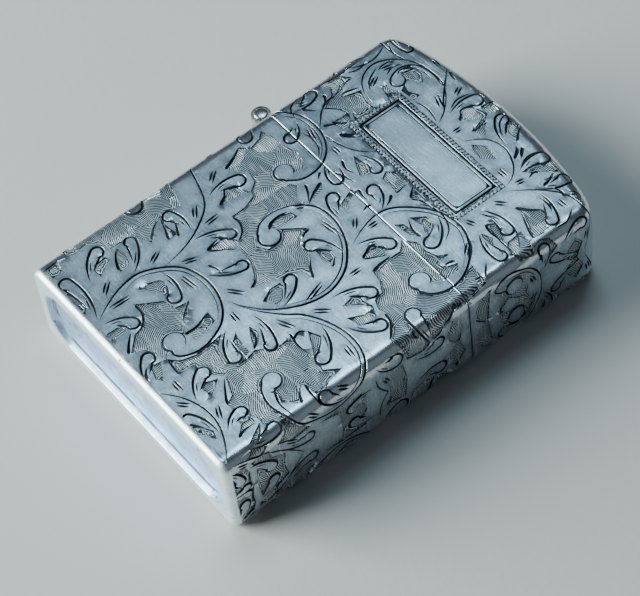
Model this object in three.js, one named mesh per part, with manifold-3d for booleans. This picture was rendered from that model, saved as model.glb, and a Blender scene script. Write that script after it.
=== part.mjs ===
// A windproof pocket lighter with a flip-up lid, lying on its back as it does on a table.
// Millimetres. +X points away from the hinge, +Y from the base towards the lid, +Z out of the front.
// The origin is on the back face, midway between base and crown.
import * as THREE from 'three';
import { mergeVertices } from 'three/addons/utils/BufferGeometryUtils.js';
import Module from 'manifold-3d';

// Outer case
const CASE_WIDTH = 38.1;
const CASE_LENGTH = 57.4;
const CASE_DEPTH = 12.75;
const LID_LENGTH = 22.3;
const CASE_WALL = 0.7;
const CASE_CORNER_RADIUS = 1.7;
const SEAM_GAP = 0.15;
const LID_EDGE_RADIUS = 1.6;
const CROWN_RISE_ACROSS = 2.5;
const CROWN_RISE_THROUGH = 0.3;
const BASE_EDGE_RADIUS = 1.25;
const BASE_RIM_FLAT = 0.65;
const BASE_RECESS_DEPTH = 0.9;
const BASE_RECESS_SLOPE = 0.35;
const BASE_RECESS_CORNER = 3.0;

// Hinge
const BARREL_RADIUS = 1.25;
const BARREL_LENGTH = 9.4;
const BARREL_STANDOFF = 1.3;
const LID_KNUCKLE_LENGTH = 3.8;
const KNUCKLE_GAP = 0.1;
const HINGE_PIN_RADIUS = 0.55;
const HINGE_PIN_HEAD_RADIUS = 0.85;
const HINGE_PIN_HEAD_HEIGHT = 0.2;
const RUNNING_CLEARANCE = 0.06;
const LEAF_THICKNESS = 0.45;
const LEAF_LENGTH = 5.2;
const LEAF_SEAT = 0.05;
const WEB_COVER = 0.1;
const NOTCH_CLEARANCE = 0.2;
const TAIL_REACH = 3.1;
const TAIL_ANGLE_DEG = -18;
const TAIL_ROOT_RADIUS = 0.85;
const TAIL_TIP_RADIUS = 0.4;

// Inside unit
const INSERT_FIT = 0.3;
const INSERT_LID_FIT = 0.5;
const INSERT_WALL = 0.45;
const INSERT_CORNER_RADIUS = 1.3;
const INSERT_RISE = 4.5;
const SHOULDER_THICKNESS = 0.55;
const SHOULDER_RADIUS = 0.4;
const SEAT_GAP = 0.05;

// Chimney
const CHIMNEY_HEIGHT = 14.9;
const CHIMNEY_HALF_DEPTH = 4.7;
const CHIMNEY_WALL = 0.5;
const CHIMNEY_LEFT = -9.9;
const CHIMNEY_RIGHT_SHOULDER = 4.6;
const CHIMNEY_NECK_RUN = 2.4;
const CHIMNEY_CORNER = 2.2;
const DRAUGHT_HOLE_RADIUS = 1.1;
const DRAUGHT_HOLE_PITCH = 3.6;
const DRAUGHT_ROW_PITCH = 3.35;
const DRAUGHT_CENTRE_X = -2.6;
const DRAUGHT_LOWEST_ROW = 4.7;

// Striker
const WHEEL_X = 9.3;
const WHEEL_RADIUS = 3.1;
const WHEEL_STRIKING_RADIUS = 2.85;
const WHEEL_WIDTH = 4.3;
const WHEEL_STRIKING_WIDTH = 2.3;
const WHEEL_TEETH = 26;
const WHEEL_STRIKING_TEETH = 36;
const WHEEL_TOOTH_DEPTH = 0.3;
const WHEEL_SIDE_CLEARANCE = 0.1;
const WHEEL_HEIGHT = 7.55;
const AXLE_RADIUS = 0.75;
const AXLE_HEAD_RADIUS = 1.25;
const AXLE_HEAD_HEIGHT = 0.35;
const EAR_RADIUS = 2.5;

// Flint feed
const FLINT_RADIUS = 1.2;
const FLINT_LENGTH = 5.0;
const FLINT_GAP = 0.3;
const FLINT_TUBE_BORE = 1.36;
const FLINT_TUBE_RADIUS = 1.85;
const TUBE_HOLE_CLEARANCE = 0.1;
const PUSHER_LENGTH = 2.4;
const PUSHER_NECK_RADIUS = 0.55;
const SPRING_COIL_RADIUS = 0.95;
const SPRING_WIRE_RADIUS = 0.18;
const SPRING_CURLS = 24;
const SCREW_HEAD_RADIUS = 2.5;
const SCREW_HEAD_HEIGHT = 1.1;
const SCREW_SHANK_RADIUS = 1.22;
const SCREW_SHANK_LENGTH = 4.6;
const SCREW_SLOT_WIDTH = 0.7;
const SCREW_SLOT_DEPTH = 0.55;
const TUBE_END_CLEARANCE = 0.05;

// Lid cam
const CAM_THICKNESS = 1.5;
const CAM_SIDE_CLEARANCE = 0.2;
const CAM_EAR_THICKNESS = 0.5;
const CAM_EAR_RADIUS = 1.35;
const CAM_PIVOT_X = -12.4;
const CAM_PIVOT_RISE = 1.5;
const CAM_HUB_RADIUS = 1.25;
const CAM_NOSE_RADIUS = 0.75;
const CAM_NOSE_ANGLE_DEG = 5;
const CAM_NOSE_GAP = 0.35;
const CAM_RIVET_RADIUS = 0.5;
const CAM_RIVET_HEAD_RADIUS = 0.95;
const CAM_RIVET_HEAD_HEIGHT = 0.3;
const CAM_SPRING_THICKNESS = 0.3;
const CAM_SPRING_WIDTH = 2.4;
const CAM_SPRING_ROOT_X = -4.6;
const CAM_SPRING_RIVET_X = -6.6;
const CAM_SPRING_RIVET_RADIUS = 0.5;

// Wick, packing and pad
const WICK_RADIUS = 1.45;
const WICK_X = -1.5;
const WICK_RISE = 7.6;
const WICK_ROUTE = [[-1.5, 6.5], [-2.6, 1.5], [-5.2, -3.5], [-3.4, -9.0], [0.4, -13.5], [-1.6, -19.5]];
const GROMMET_BORE = 1.62;
const GROMMET_BARREL = 1.95;
const GROMMET_FLANGE = 2.55;
const GROMMET_LIP = 0.3;
const PACKING_BALLS = 5;
const PACKING_TOP = 3.9;
const PACKING_CLEARANCE = 0.3;
const FELT_THICKNESS = 2.4;
const FELT_LIFT = 0.4;

// Places that follow from the sizes above
const BASE_Y = -CASE_LENGTH / 2;
const CROWN_Y = CASE_LENGTH / 2;
const SEAM_Y = CROWN_Y - LID_LENGTH;
const MID_Z = CASE_DEPTH / 2;
const HALF_WIDTH = CASE_WIDTH / 2;
const HALF_DEPTH = CASE_DEPTH / 2;
const HINGE_X = -HALF_WIDTH - BARREL_STANDOFF;
const INNER_LEFT = -HALF_WIDTH + CASE_WALL;
const LEAF_LEFT = INNER_LEFT + LEAF_SEAT;
const LEAF_RIGHT = LEAF_LEFT + LEAF_THICKNESS;
const CASE_FLOOR_Y = BASE_Y + BASE_RECESS_DEPTH + CASE_WALL;
const INSERT_LEFT = LEAF_RIGHT + INSERT_FIT;
const INSERT_RIGHT = HALF_WIDTH - CASE_WALL - INSERT_LID_FIT;
const INSERT_MID_X = (INSERT_LEFT + INSERT_RIGHT) / 2;
const INSERT_HALF_WIDTH = (INSERT_RIGHT - INSERT_LEFT) / 2;
const INSERT_HALF_DEPTH = HALF_DEPTH - CASE_WALL - INSERT_FIT;
const INSERT_BOTTOM_Y = CASE_FLOOR_Y + INSERT_FIT;
const INSERT_TOP_Y = SEAM_Y + INSERT_RISE;
const PLATE_UNDER_Y = INSERT_TOP_Y + SEAT_GAP;
const PLATE_TOP_Y = PLATE_UNDER_Y + SHOULDER_THICKNESS;
const WHEEL_Y = PLATE_TOP_Y + WHEEL_HEIGHT;
const EAR_INNER_Z = WHEEL_WIDTH / 2 + WHEEL_SIDE_CLEARANCE;
const FLINT_TOP_Y = WHEEL_Y - WHEEL_RADIUS - FLINT_GAP;
const SCREW_BOTTOM_Y = INSERT_BOTTOM_Y + SEAT_GAP;
const SCREW_SHANK_TOP_Y = SCREW_BOTTOM_Y + SCREW_HEAD_HEIGHT + SCREW_SHANK_LENGTH;
const TUBE_BOTTOM_Y = SCREW_BOTTOM_Y + SCREW_HEAD_HEIGHT + TUBE_END_CLEARANCE;
const CAM_PIVOT_Y = PLATE_TOP_Y + CAM_PIVOT_RISE;
const CAM_SLOT_HALF = CAM_THICKNESS / 2 + CAM_SIDE_CLEARANCE;
const TAIL_TIP = new THREE.Vector2(
  HINGE_X + (TAIL_REACH - TAIL_TIP_RADIUS) * Math.cos(THREE.MathUtils.degToRad(TAIL_ANGLE_DEG)),
  SEAM_Y + (TAIL_REACH - TAIL_TIP_RADIUS) * Math.sin(THREE.MathUtils.degToRad(TAIL_ANGLE_DEG)),
);
const TAIL_LOWEST_Y = TAIL_TIP.y - TAIL_TIP_RADIUS;
const CAM_NOSE_REACH = TAIL_REACH + CAM_NOSE_GAP + CAM_NOSE_RADIUS;
const CAM_NOSE = new THREE.Vector2(
  HINGE_X + CAM_NOSE_REACH * Math.cos(THREE.MathUtils.degToRad(CAM_NOSE_ANGLE_DEG)),
  SEAM_Y + CAM_NOSE_REACH * Math.sin(THREE.MathUtils.degToRad(CAM_NOSE_ANGLE_DEG)),
);
const FELT_BOTTOM_Y = INSERT_BOTTOM_Y + FELT_LIFT;
const PACKING_BOTTOM_Y = FELT_BOTTOM_Y + FELT_THICKNESS + PACKING_CLEARANCE;

const finishes = {
  silver: new THREE.MeshStandardMaterial({ color: 0xa9b0b8, roughness: 0.38, metalness: 1 }),
  hinge: new THREE.MeshStandardMaterial({ color: 0x9aa0a2, roughness: 0.35, metalness: 1 }),
  steel: new THREE.MeshStandardMaterial({ color: 0xb9bcbd, roughness: 0.3, metalness: 1 }),
  toolSteel: new THREE.MeshStandardMaterial({ color: 0x55565a, roughness: 0.5, metalness: 1 }),
  brass: new THREE.MeshStandardMaterial({ color: 0xb8934e, roughness: 0.35, metalness: 1 }),
  flint: new THREE.MeshStandardMaterial({ color: 0x4a4744, roughness: 0.8, metalness: 0.4 }),
  wick: new THREE.MeshStandardMaterial({ color: 0xd8cfb8, roughness: 0.95, metalness: 0 }),
  cotton: new THREE.MeshStandardMaterial({ color: 0xece8de, roughness: 1, metalness: 0 }),
  felt: new THREE.MeshStandardMaterial({ color: 0xd9d4c6, roughness: 1, metalness: 0 }),
};

const wasm = await Module();
wasm.setup();

// Solids and meshes
function solidOf(geometry) {
  const bare = geometry.index ? geometry.toNonIndexed() : geometry.clone();
  bare.deleteAttribute('normal');
  bare.deleteAttribute('uv');
  const merged = mergeVertices(bare, 1e-4);
  return new wasm.Manifold(new wasm.Mesh({
    numProp: 3,
    vertProperties: merged.attributes.position.array,
    triVerts: new Uint32Array(merged.index.array),
  }));
}

function meshOf(name, solid, material) {
  const made = solid.getMesh();
  const geometry = new THREE.BufferGeometry();
  geometry.setAttribute('position', new THREE.BufferAttribute(Float32Array.from(made.vertProperties), 3));
  geometry.setIndex(new THREE.BufferAttribute(Uint32Array.from(made.triVerts), 1));
  geometry.computeVertexNormals();
  const mesh = new THREE.Mesh(geometry, material);
  mesh.name = name;
  return mesh;
}

const joined = (...solids) => solids.reduce((a, b) => a.add(b));
const lessAll = (solid, cuts) => cuts.reduce((a, b) => a.subtract(b), solid);

// A solid box between two corners.
function block(x0, x1, y0, y1, z0, z1) {
  const box = new THREE.BoxGeometry(x1 - x0, y1 - y0, z1 - z0);
  return solidOf(box.translate((x0 + x1) / 2, (y0 + y1) / 2, (z0 + z1) / 2));
}

// An outline in the front view, given thickness about a middle plane.
function plateOf(shape, thickness, middle = MID_Z, curveSegments = 10) {
  const made = new THREE.ExtrudeGeometry(shape, { depth: thickness, bevelEnabled: false, curveSegments });
  return solidOf(made.translate(0, 0, middle - thickness / 2));
}

// A cross-section of the lighter (x and z), drawn along its length from y0 to y1.
function columnOf(shape, y0, y1, curveSegments = 6) {
  const made = new THREE.ExtrudeGeometry(shape, { depth: y1 - y0, bevelEnabled: false, curveSegments });
  return solidOf(made.rotateX(Math.PI / 2).translate(0, y1, 0));
}

// A turned piece along the lighter's length: profile is [radius, y] pairs that start and end on the axis,
// or close on themselves.
function turnedUp(profile, x, segments = 24) {
  const points = profile.map(([r, y]) => new THREE.Vector2(r, y));
  return solidOf(new THREE.LatheGeometry(points, segments).translate(x, 0, MID_Z));
}

// A turned pin through the lighter's depth: profile is [radius, z] pairs from the middle plane.
function turnedThrough(profile, x, y, segments = 24) {
  const points = profile.map(([r, z]) => new THREE.Vector2(r, z));
  return solidOf(new THREE.LatheGeometry(points, segments).rotateX(Math.PI / 2).translate(x, y, MID_Z));
}

function rod(radius, x, y, z0, z1, segments = 24) {
  const made = new THREE.CylinderGeometry(radius, radius, z1 - z0, segments);
  return solidOf(made.rotateX(Math.PI / 2).translate(x, y, (z0 + z1) / 2));
}

function post(radius, x, y0, y1, segments = 24) {
  const made = new THREE.CylinderGeometry(radius, radius, y1 - y0, segments);
  return solidOf(made.translate(x, (y0 + y1) / 2, MID_Z));
}

function roundedRect(midX, midY, halfX, halfY, radius) {
  const shape = new THREE.Shape();
  shape.moveTo(midX + halfX, midY - halfY + radius);
  shape.lineTo(midX + halfX, midY + halfY - radius);
  shape.absarc(midX + halfX - radius, midY + halfY - radius, radius, 0, Math.PI / 2);
  shape.lineTo(midX - halfX + radius, midY + halfY);
  shape.absarc(midX - halfX + radius, midY + halfY - radius, radius, Math.PI / 2, Math.PI);
  shape.lineTo(midX - halfX, midY - halfY + radius);
  shape.absarc(midX - halfX + radius, midY - halfY + radius, radius, Math.PI, Math.PI * 1.5);
  shape.lineTo(midX + halfX - radius, midY - halfY);
  shape.absarc(midX + halfX - radius, midY - halfY + radius, radius, -Math.PI / 2, 0);
  return shape;
}

// A bar with round ends of two radii, between two centres in the front view.
function taperedBar(a, radiusA, b, radiusB) {
  const direction = Math.atan2(b.y - a.y, b.x - a.x);
  const lean = Math.acos((radiusA - radiusB) / a.distanceTo(b));
  const shape = new THREE.Shape();
  shape.absarc(b.x, b.y, radiusB, direction - lean, direction + lean, false);
  shape.absarc(a.x, a.y, radiusA, direction + lean, direction - lean + 2 * Math.PI, false);
  return shape;
}

// A skin over rings of equal count, closed by a fan at each end.
function loft(rings, firstCentre, lastCentre) {
  const count = rings[0].length;
  const points = [...rings.flat(), firstCentre, lastCentre];
  const first = rings.length * count;
  const last = first + 1;
  const index = [];
  for (let r = 0; r < rings.length - 1; r++) {
    for (let i = 0; i < count; i++) {
      const a = r * count + i;
      const b = r * count + (i + 1) % count;
      index.push(a, b, a + count, b, b + count, a + count);
    }
  }
  for (let i = 0; i < count; i++) {
    const next = (i + 1) % count;
    index.push(first, next, i);
    index.push(last, (rings.length - 1) * count + i, (rings.length - 1) * count + next);
  }
  const geometry = new THREE.BufferGeometry().setFromPoints(points);
  geometry.setIndex(index);
  const solid = solidOf(geometry);
  if (solid.volume() > 0) return solid;
  geometry.setIndex(index.reverse());
  return solidOf(geometry);
}

// Outer case: one rounded section, drawn up to a crowned lid and down to a rimmed base.

// The case's cross-section, taken in by inset all round, at a height that may vary over it.
function caseRing(inset, height, radius = CASE_CORNER_RADIUS) {
  const corner = Math.max(radius - inset, 0.35);
  const halfX = HALF_WIDTH - inset;
  const halfZ = HALF_DEPTH - inset;
  const longSteps = 12;
  const shortSteps = 3;
  const arcSteps = 6;
  const flat = [];
  const run = (x0, z0, x1, z1, steps) => {
    for (let i = 0; i < steps; i++) flat.push([x0 + (x1 - x0) * i / steps, z0 + (z1 - z0) * i / steps]);
  };
  const turn = (cx, cz, from) => {
    for (let i = 0; i < arcSteps; i++) {
      const angle = from + Math.PI / 2 * i / arcSteps;
      flat.push([cx + corner * Math.cos(angle), cz + corner * Math.sin(angle)]);
    }
  };
  run(halfX, -halfZ + corner, halfX, halfZ - corner, shortSteps);
  turn(halfX - corner, halfZ - corner, 0);
  run(halfX - corner, halfZ, -halfX + corner, halfZ, longSteps);
  turn(-halfX + corner, halfZ - corner, Math.PI / 2);
  run(-halfX, halfZ - corner, -halfX, -halfZ + corner, shortSteps);
  turn(-halfX + corner, -halfZ + corner, Math.PI);
  run(-halfX + corner, -halfZ, halfX - corner, -halfZ, longSteps);
  turn(halfX - corner, -halfZ + corner, Math.PI * 1.5);
  return flat.map(([x, z]) => new THREE.Vector3(x, height(x, z), MID_Z + z));
}

const crownAt = (x, z) => CROWN_Y - CROWN_RISE_ACROSS * (x / HALF_WIDTH) ** 2
  - CROWN_RISE_THROUGH * (z / HALF_DEPTH) ** 2;

// A block with the lid's form, from y0 up to the crown, taken in by inset.
function crownedBlock(inset, y0) {
  const edge = LID_EDGE_RADIUS - inset;
  const edgeSteps = 5;
  const rings = [caseRing(inset, () => y0)];
  for (let i = 0; i <= edgeSteps; i++) {
    const angle = Math.PI / 2 * i / edgeSteps;
    const draw = edge * (1 - Math.cos(angle));
    rings.push(caseRing(inset + draw, (x, z) => crownAt(x, z) - inset - edge + edge * Math.sin(angle)));
  }
  const rim = rings[rings.length - 1];
  for (const share of [0.7, 0.35]) {
    rings.push(rim.map((p) => {
      const x = p.x * share;
      const z = (p.z - MID_Z) * share;
      return new THREE.Vector3(x, crownAt(x, z) - inset, MID_Z + z);
    }));
  }
  return loft(rings, new THREE.Vector3(0, y0, MID_Z), new THREE.Vector3(0, CROWN_Y - inset, MID_Z));
}

// The window that both shells leave for the hinge barrel.
function barrelNotch(y0, y1) {
  const half = BARREL_LENGTH / 2 + HINGE_PIN_HEAD_HEIGHT + NOTCH_CLEARANCE;
  return block(-HALF_WIDTH - 1, INNER_LEFT + 0.2, y0, y1, MID_Z - half, MID_Z + half);
}

function caseBody() {
  const rimY = SEAM_Y - SEAM_GAP / 2;
  const edgeSteps = 5;
  const rings = [];
  for (let i = 0; i <= edgeSteps; i++) {
    const angle = Math.PI / 2 * i / edgeSteps;
    const inset = BASE_EDGE_RADIUS * (1 - Math.sin(angle));
    const y = BASE_Y + BASE_EDGE_RADIUS * (1 - Math.cos(angle));
    rings.push(caseRing(inset, () => y));
  }
  rings.push(caseRing(0, () => rimY));
  const outside = loft(rings, new THREE.Vector3(0, BASE_Y, MID_Z), new THREE.Vector3(0, rimY, MID_Z));
  const inside = loft(
    [caseRing(CASE_WALL, () => CASE_FLOOR_Y), caseRing(CASE_WALL, () => rimY + 1)],
    new THREE.Vector3(0, CASE_FLOOR_Y, MID_Z),
    new THREE.Vector3(0, rimY + 1, MID_Z),
  );
  const mouth = BASE_EDGE_RADIUS + BASE_RIM_FLAT;
  const panel = mouth + BASE_RECESS_SLOPE;
  const recessTop = BASE_Y + BASE_RECESS_DEPTH;
  const recess = loft(
    [
      caseRing(mouth - BASE_RECESS_SLOPE, () => BASE_Y - BASE_RECESS_DEPTH, BASE_RECESS_CORNER + mouth),
      caseRing(mouth, () => BASE_Y, BASE_RECESS_CORNER + mouth),
      caseRing(panel, () => recessTop, BASE_RECESS_CORNER + mouth),
    ],
    new THREE.Vector3(0, BASE_Y - BASE_RECESS_DEPTH, MID_Z),
    new THREE.Vector3(0, recessTop, MID_Z),
  );
  const notch = barrelNotch(SEAM_Y - BARREL_RADIUS - NOTCH_CLEARANCE, rimY + 1);
  return lessAll(outside, [inside, recess, notch]);
}

function lid() {
  const rimY = SEAM_Y + SEAM_GAP / 2;
  const notch = barrelNotch(rimY - 1, SEAM_Y + BARREL_RADIUS + NOTCH_CLEARANCE);
  return lessAll(crownedBlock(0, rimY), [crownedBlock(CASE_WALL, rimY - 1), notch]);
}

// Hinge: three knuckles on one pin, the middle one on the lid, with a leaf soldered inside each shell.

function knuckle(length, middle) {
  const bore = rod(HINGE_PIN_RADIUS + RUNNING_CLEARANCE, HINGE_X, SEAM_Y, middle - length, middle + length);
  return rod(BARREL_RADIUS, HINGE_X, SEAM_Y, middle - length / 2, middle + length / 2, 32).subtract(bore);
}

function caseHingePlate() {
  const length = (BARREL_LENGTH - LID_KNUCKLE_LENGTH) / 2 - KNUCKLE_GAP;
  const offset = (BARREL_LENGTH - length) / 2;
  const webTop = SEAM_Y - HINGE_PIN_RADIUS - RUNNING_CLEARANCE - WEB_COVER;
  const leafTop = SEAM_Y - BARREL_RADIUS;
  const pieces = [MID_Z - offset, MID_Z + offset].flatMap((middle) => [
    knuckle(length, middle),
    block(HINGE_X + 0.2, LEAF_RIGHT, leafTop, webTop, middle - length / 2, middle + length / 2),
  ]);
  const halfLength = BARREL_LENGTH / 2;
  const leaf = block(
    LEAF_LEFT, LEAF_RIGHT, SEAM_Y - LEAF_LENGTH, leafTop + 0.05, MID_Z - halfLength, MID_Z + halfLength,
  );
  const bayHalf = LID_KNUCKLE_LENGTH / 2 + KNUCKLE_GAP;
  const bay = block(
    LEAF_LEFT - 1, LEAF_RIGHT + 1, TAIL_LOWEST_Y - INSERT_FIT, SEAM_Y, MID_Z - bayHalf, MID_Z + bayHalf,
  );
  return joined(leaf.subtract(bay), ...pieces);
}

// The lid's tail: a short lever below the cam's nose when shut, above it when open.
function lidTail() {
  const root = new THREE.Vector2(HINGE_X, SEAM_Y);
  const bore = rod(HINGE_PIN_RADIUS + RUNNING_CLEARANCE, HINGE_X, SEAM_Y, 0, CASE_DEPTH);
  return plateOf(taperedBar(root, TAIL_ROOT_RADIUS, TAIL_TIP, TAIL_TIP_RADIUS), LID_KNUCKLE_LENGTH).subtract(bore);
}

function lidHingePlate() {
  const halfLength = BARREL_LENGTH / 2;
  const halfKnuckle = LID_KNUCKLE_LENGTH / 2;
  const leafFoot = SEAM_Y + BARREL_RADIUS;
  const webFoot = SEAM_Y + HINGE_PIN_RADIUS + RUNNING_CLEARANCE + WEB_COVER;
  return joined(
    knuckle(LID_KNUCKLE_LENGTH, MID_Z),
    lidTail(),
    block(HINGE_X + 0.2, LEAF_RIGHT, webFoot, leafFoot + 0.05, MID_Z - halfKnuckle, MID_Z + halfKnuckle),
    block(LEAF_LEFT, LEAF_RIGHT, leafFoot, SEAM_Y + LEAF_LENGTH, MID_Z - halfLength, MID_Z + halfLength),
  );
}

function hingePin() {
  const half = BARREL_LENGTH / 2;
  const headFrom = half + 0.03;
  const headTo = headFrom + HINGE_PIN_HEAD_HEIGHT;
  return turnedThrough([
    [0, -headTo], [HINGE_PIN_HEAD_RADIUS * 0.7, -headTo], [HINGE_PIN_HEAD_RADIUS, -headFrom - 0.05],
    [HINGE_PIN_HEAD_RADIUS, -headFrom], [HINGE_PIN_RADIUS, -headFrom], [HINGE_PIN_RADIUS, headFrom],
    [HINGE_PIN_HEAD_RADIUS, headFrom], [HINGE_PIN_HEAD_RADIUS, headFrom + 0.05],
    [HINGE_PIN_HEAD_RADIUS * 0.7, headTo], [0, headTo],
  ], HINGE_X, SEAM_Y);
}

// Inside unit: a drawn oblong tube under a shouldered plate that carries the chimney.

function insertOutline(inset) {
  return roundedRect(
    INSERT_MID_X, MID_Z, INSERT_HALF_WIDTH - inset, INSERT_HALF_DEPTH - inset,
    Math.max(INSERT_CORNER_RADIUS - inset, 0.3),
  );
}

function insertCase() {
  const tube = columnOf(insertOutline(0), INSERT_BOTTOM_Y, INSERT_TOP_Y);
  const bore = columnOf(insertOutline(INSERT_WALL), INSERT_BOTTOM_Y - 1, INSERT_TOP_Y + 1);
  const halfBay = LID_KNUCKLE_LENGTH / 2 + INSERT_FIT;
  const bayFloor = Math.min(TAIL_LOWEST_Y, CAM_NOSE.y - CAM_NOSE_RADIUS) - INSERT_FIT;
  const bay = block(
    INSERT_LEFT - 1, INSERT_LEFT + INSERT_WALL + 1, bayFloor, INSERT_TOP_Y + 1, MID_Z - halfBay, MID_Z + halfBay,
  );
  return lessAll(tube, [bore, bay]);
}

// The shoulder plate: flat, with its upper edge rounded over.
function shoulderPlate() {
  const straight = columnOf(insertOutline(0), PLATE_UNDER_Y, PLATE_TOP_Y - SHOULDER_RADIUS);
  const steps = 4;
  const layers = Array.from({ length: steps }, (_, i) => {
    const angle = Math.PI / 2 * (i + 1) / steps;
    const inset = SHOULDER_RADIUS * (1 - Math.cos(angle - Math.PI / 4 / steps));
    return columnOf(insertOutline(inset), PLATE_UNDER_Y, PLATE_TOP_Y - SHOULDER_RADIUS * (1 - Math.sin(angle)));
  });
  return joined(straight, ...layers);
}

// The chimney wall in plan: a round end round the flame, then a neck that grips the wheel.
function chimneyRibbon(inset) {
  const half = CHIMNEY_HALF_DEPTH - inset;
  const neck = EAR_INNER_Z + CHIMNEY_WALL - inset;
  const round = CHIMNEY_LEFT + CHIMNEY_HALF_DEPTH;
  const neckX = CHIMNEY_RIGHT_SHOULDER + CHIMNEY_NECK_RUN;
  const midNeckX = (CHIMNEY_RIGHT_SHOULDER + neckX) / 2;
  const right = WHEEL_X + EAR_RADIUS + (inset > 0 ? 1 : 0.6);
  const shape = new THREE.Shape();
  shape.moveTo(right, MID_Z - neck);
  shape.lineTo(right, MID_Z + neck);
  shape.lineTo(neckX, MID_Z + neck);
  shape.bezierCurveTo(midNeckX, MID_Z + neck, midNeckX, MID_Z + half, CHIMNEY_RIGHT_SHOULDER, MID_Z + half);
  shape.lineTo(round, MID_Z + half);
  shape.absarc(round, MID_Z, half, Math.PI / 2, Math.PI * 1.5, false);
  shape.lineTo(CHIMNEY_RIGHT_SHOULDER, MID_Z - half);
  shape.bezierCurveTo(midNeckX, MID_Z - half, midNeckX, MID_Z - neck, neckX, MID_Z - neck);
  return shape;
}

// The chimney in the front view: a full-height hood that steps down to the wheel's ears.
function chimneyProfile() {
  const foot = PLATE_TOP_Y - 0.2;
  const top = PLATE_TOP_Y + CHIMNEY_HEIGHT;
  const hoodRight = CHIMNEY_RIGHT_SHOULDER + 0.9;
  const earRight = WHEEL_X + EAR_RADIUS;
  const left = CHIMNEY_LEFT - 0.5;
  const shape = new THREE.Shape();
  shape.moveTo(left, foot);
  shape.lineTo(earRight + 0.5, foot);
  shape.lineTo(earRight, WHEEL_Y);
  shape.absarc(WHEEL_X, WHEEL_Y, EAR_RADIUS, 0, Math.PI * 0.6, false);
  shape.quadraticCurveTo(hoodRight + 0.6, WHEEL_Y + EAR_RADIUS - 0.2, hoodRight, top - CHIMNEY_CORNER);
  shape.quadraticCurveTo(hoodRight, top, hoodRight - CHIMNEY_CORNER, top);
  shape.lineTo(CHIMNEY_LEFT + CHIMNEY_CORNER, top);
  shape.quadraticCurveTo(left, top, left, top - CHIMNEY_CORNER);
  return shape;
}

function draughtHoles() {
  const holes = [];
  [3, 2, 3].forEach((count, row) => {
    for (let i = 0; i < count; i++) {
      const x = DRAUGHT_CENTRE_X + (i - (count - 1) / 2) * DRAUGHT_HOLE_PITCH;
      const y = PLATE_TOP_Y + DRAUGHT_LOWEST_ROW + row * DRAUGHT_ROW_PITCH;
      holes.push(rod(DRAUGHT_HOLE_RADIUS, x, y, MID_Z - CHIMNEY_HALF_DEPTH - 1, MID_Z + CHIMNEY_HALF_DEPTH + 1, 16));
    }
  });
  return holes;
}

// One of the two lugs that carry the cam's rivet.
function camEar(side) {
  const shape = new THREE.Shape();
  shape.moveTo(CAM_PIVOT_X - CAM_EAR_RADIUS - 0.6, PLATE_TOP_Y - 0.2);
  shape.lineTo(CAM_PIVOT_X + CAM_EAR_RADIUS + 0.6, PLATE_TOP_Y - 0.2);
  shape.lineTo(CAM_PIVOT_X + CAM_EAR_RADIUS, CAM_PIVOT_Y);
  shape.absarc(CAM_PIVOT_X, CAM_PIVOT_Y, CAM_EAR_RADIUS, 0, Math.PI, false);
  return plateOf(shape, CAM_EAR_THICKNESS, MID_Z + side * (CAM_SLOT_HALF + CAM_EAR_THICKNESS / 2));
}

function chimney() {
  const wall = columnOf(chimneyRibbon(0), PLATE_TOP_Y - 0.2, PLATE_TOP_Y + CHIMNEY_HEIGHT + 1, 12)
    .subtract(columnOf(chimneyRibbon(CHIMNEY_WALL), PLATE_TOP_Y - 2, PLATE_TOP_Y + CHIMNEY_HEIGHT + 2, 12))
    .intersect(plateOf(chimneyProfile(), CASE_DEPTH));
  const under = PLATE_UNDER_Y - 1;
  const over = PLATE_TOP_Y + 1;
  const cuts = [
    ...draughtHoles(),
    post(GROMMET_BARREL + TUBE_HOLE_CLEARANCE, WICK_X, under, over),
    post(FLINT_TUBE_RADIUS + TUBE_HOLE_CLEARANCE, WHEEL_X, under, over),
    post(CAM_SPRING_RIVET_RADIUS + SEAT_GAP, CAM_SPRING_RIVET_X, under, over, 16),
    block(
      INSERT_LEFT - 1, CAM_PIVOT_X + CAM_HUB_RADIUS + 0.4, under, over, MID_Z - CAM_SLOT_HALF, MID_Z + CAM_SLOT_HALF,
    ),
    rod(AXLE_RADIUS + SEAT_GAP, WHEEL_X, WHEEL_Y, 0, CASE_DEPTH),
    rod(CAM_RIVET_RADIUS + SEAT_GAP, CAM_PIVOT_X, CAM_PIVOT_Y, 0, CASE_DEPTH, 16),
  ];
  return lessAll(joined(shoulderPlate(), wall, camEar(1), camEar(-1)), cuts);
}

function wickGrommet() {
  const lipTop = PLATE_TOP_Y + SEAT_GAP + GROMMET_LIP;
  const lipFoot = PLATE_UNDER_Y - SEAT_GAP - GROMMET_LIP;
  return turnedUp([
    [GROMMET_BORE, lipFoot], [GROMMET_FLANGE, lipFoot], [GROMMET_FLANGE, PLATE_UNDER_Y - SEAT_GAP],
    [GROMMET_BARREL, PLATE_UNDER_Y - SEAT_GAP], [GROMMET_BARREL, PLATE_TOP_Y + SEAT_GAP],
    [GROMMET_FLANGE, PLATE_TOP_Y + SEAT_GAP], [GROMMET_FLANGE - 0.12, lipTop - 0.08], [GROMMET_BORE + 0.15, lipTop],
    [GROMMET_BORE, lipTop - 0.1], [GROMMET_BORE, lipFoot],
  ], WICK_X);
}

// Striker: a toothed wheel on a riveted axle.

function toothedOutline(radius, teeth, depth) {
  const shape = new THREE.Shape();
  for (let i = 0; i < teeth; i++) {
    const crest = 2 * Math.PI * i / teeth;
    const root = crest + 2 * Math.PI * 0.8 / teeth;
    const points = [[radius, crest], [radius - depth, root]];
    points.forEach(([r, a], k) => {
      const x = WHEEL_X + r * Math.cos(a);
      const y = WHEEL_Y + r * Math.sin(a);
      if (i + k) shape.lineTo(x, y);
      else shape.moveTo(x, y);
    });
  }
  return shape;
}

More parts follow.
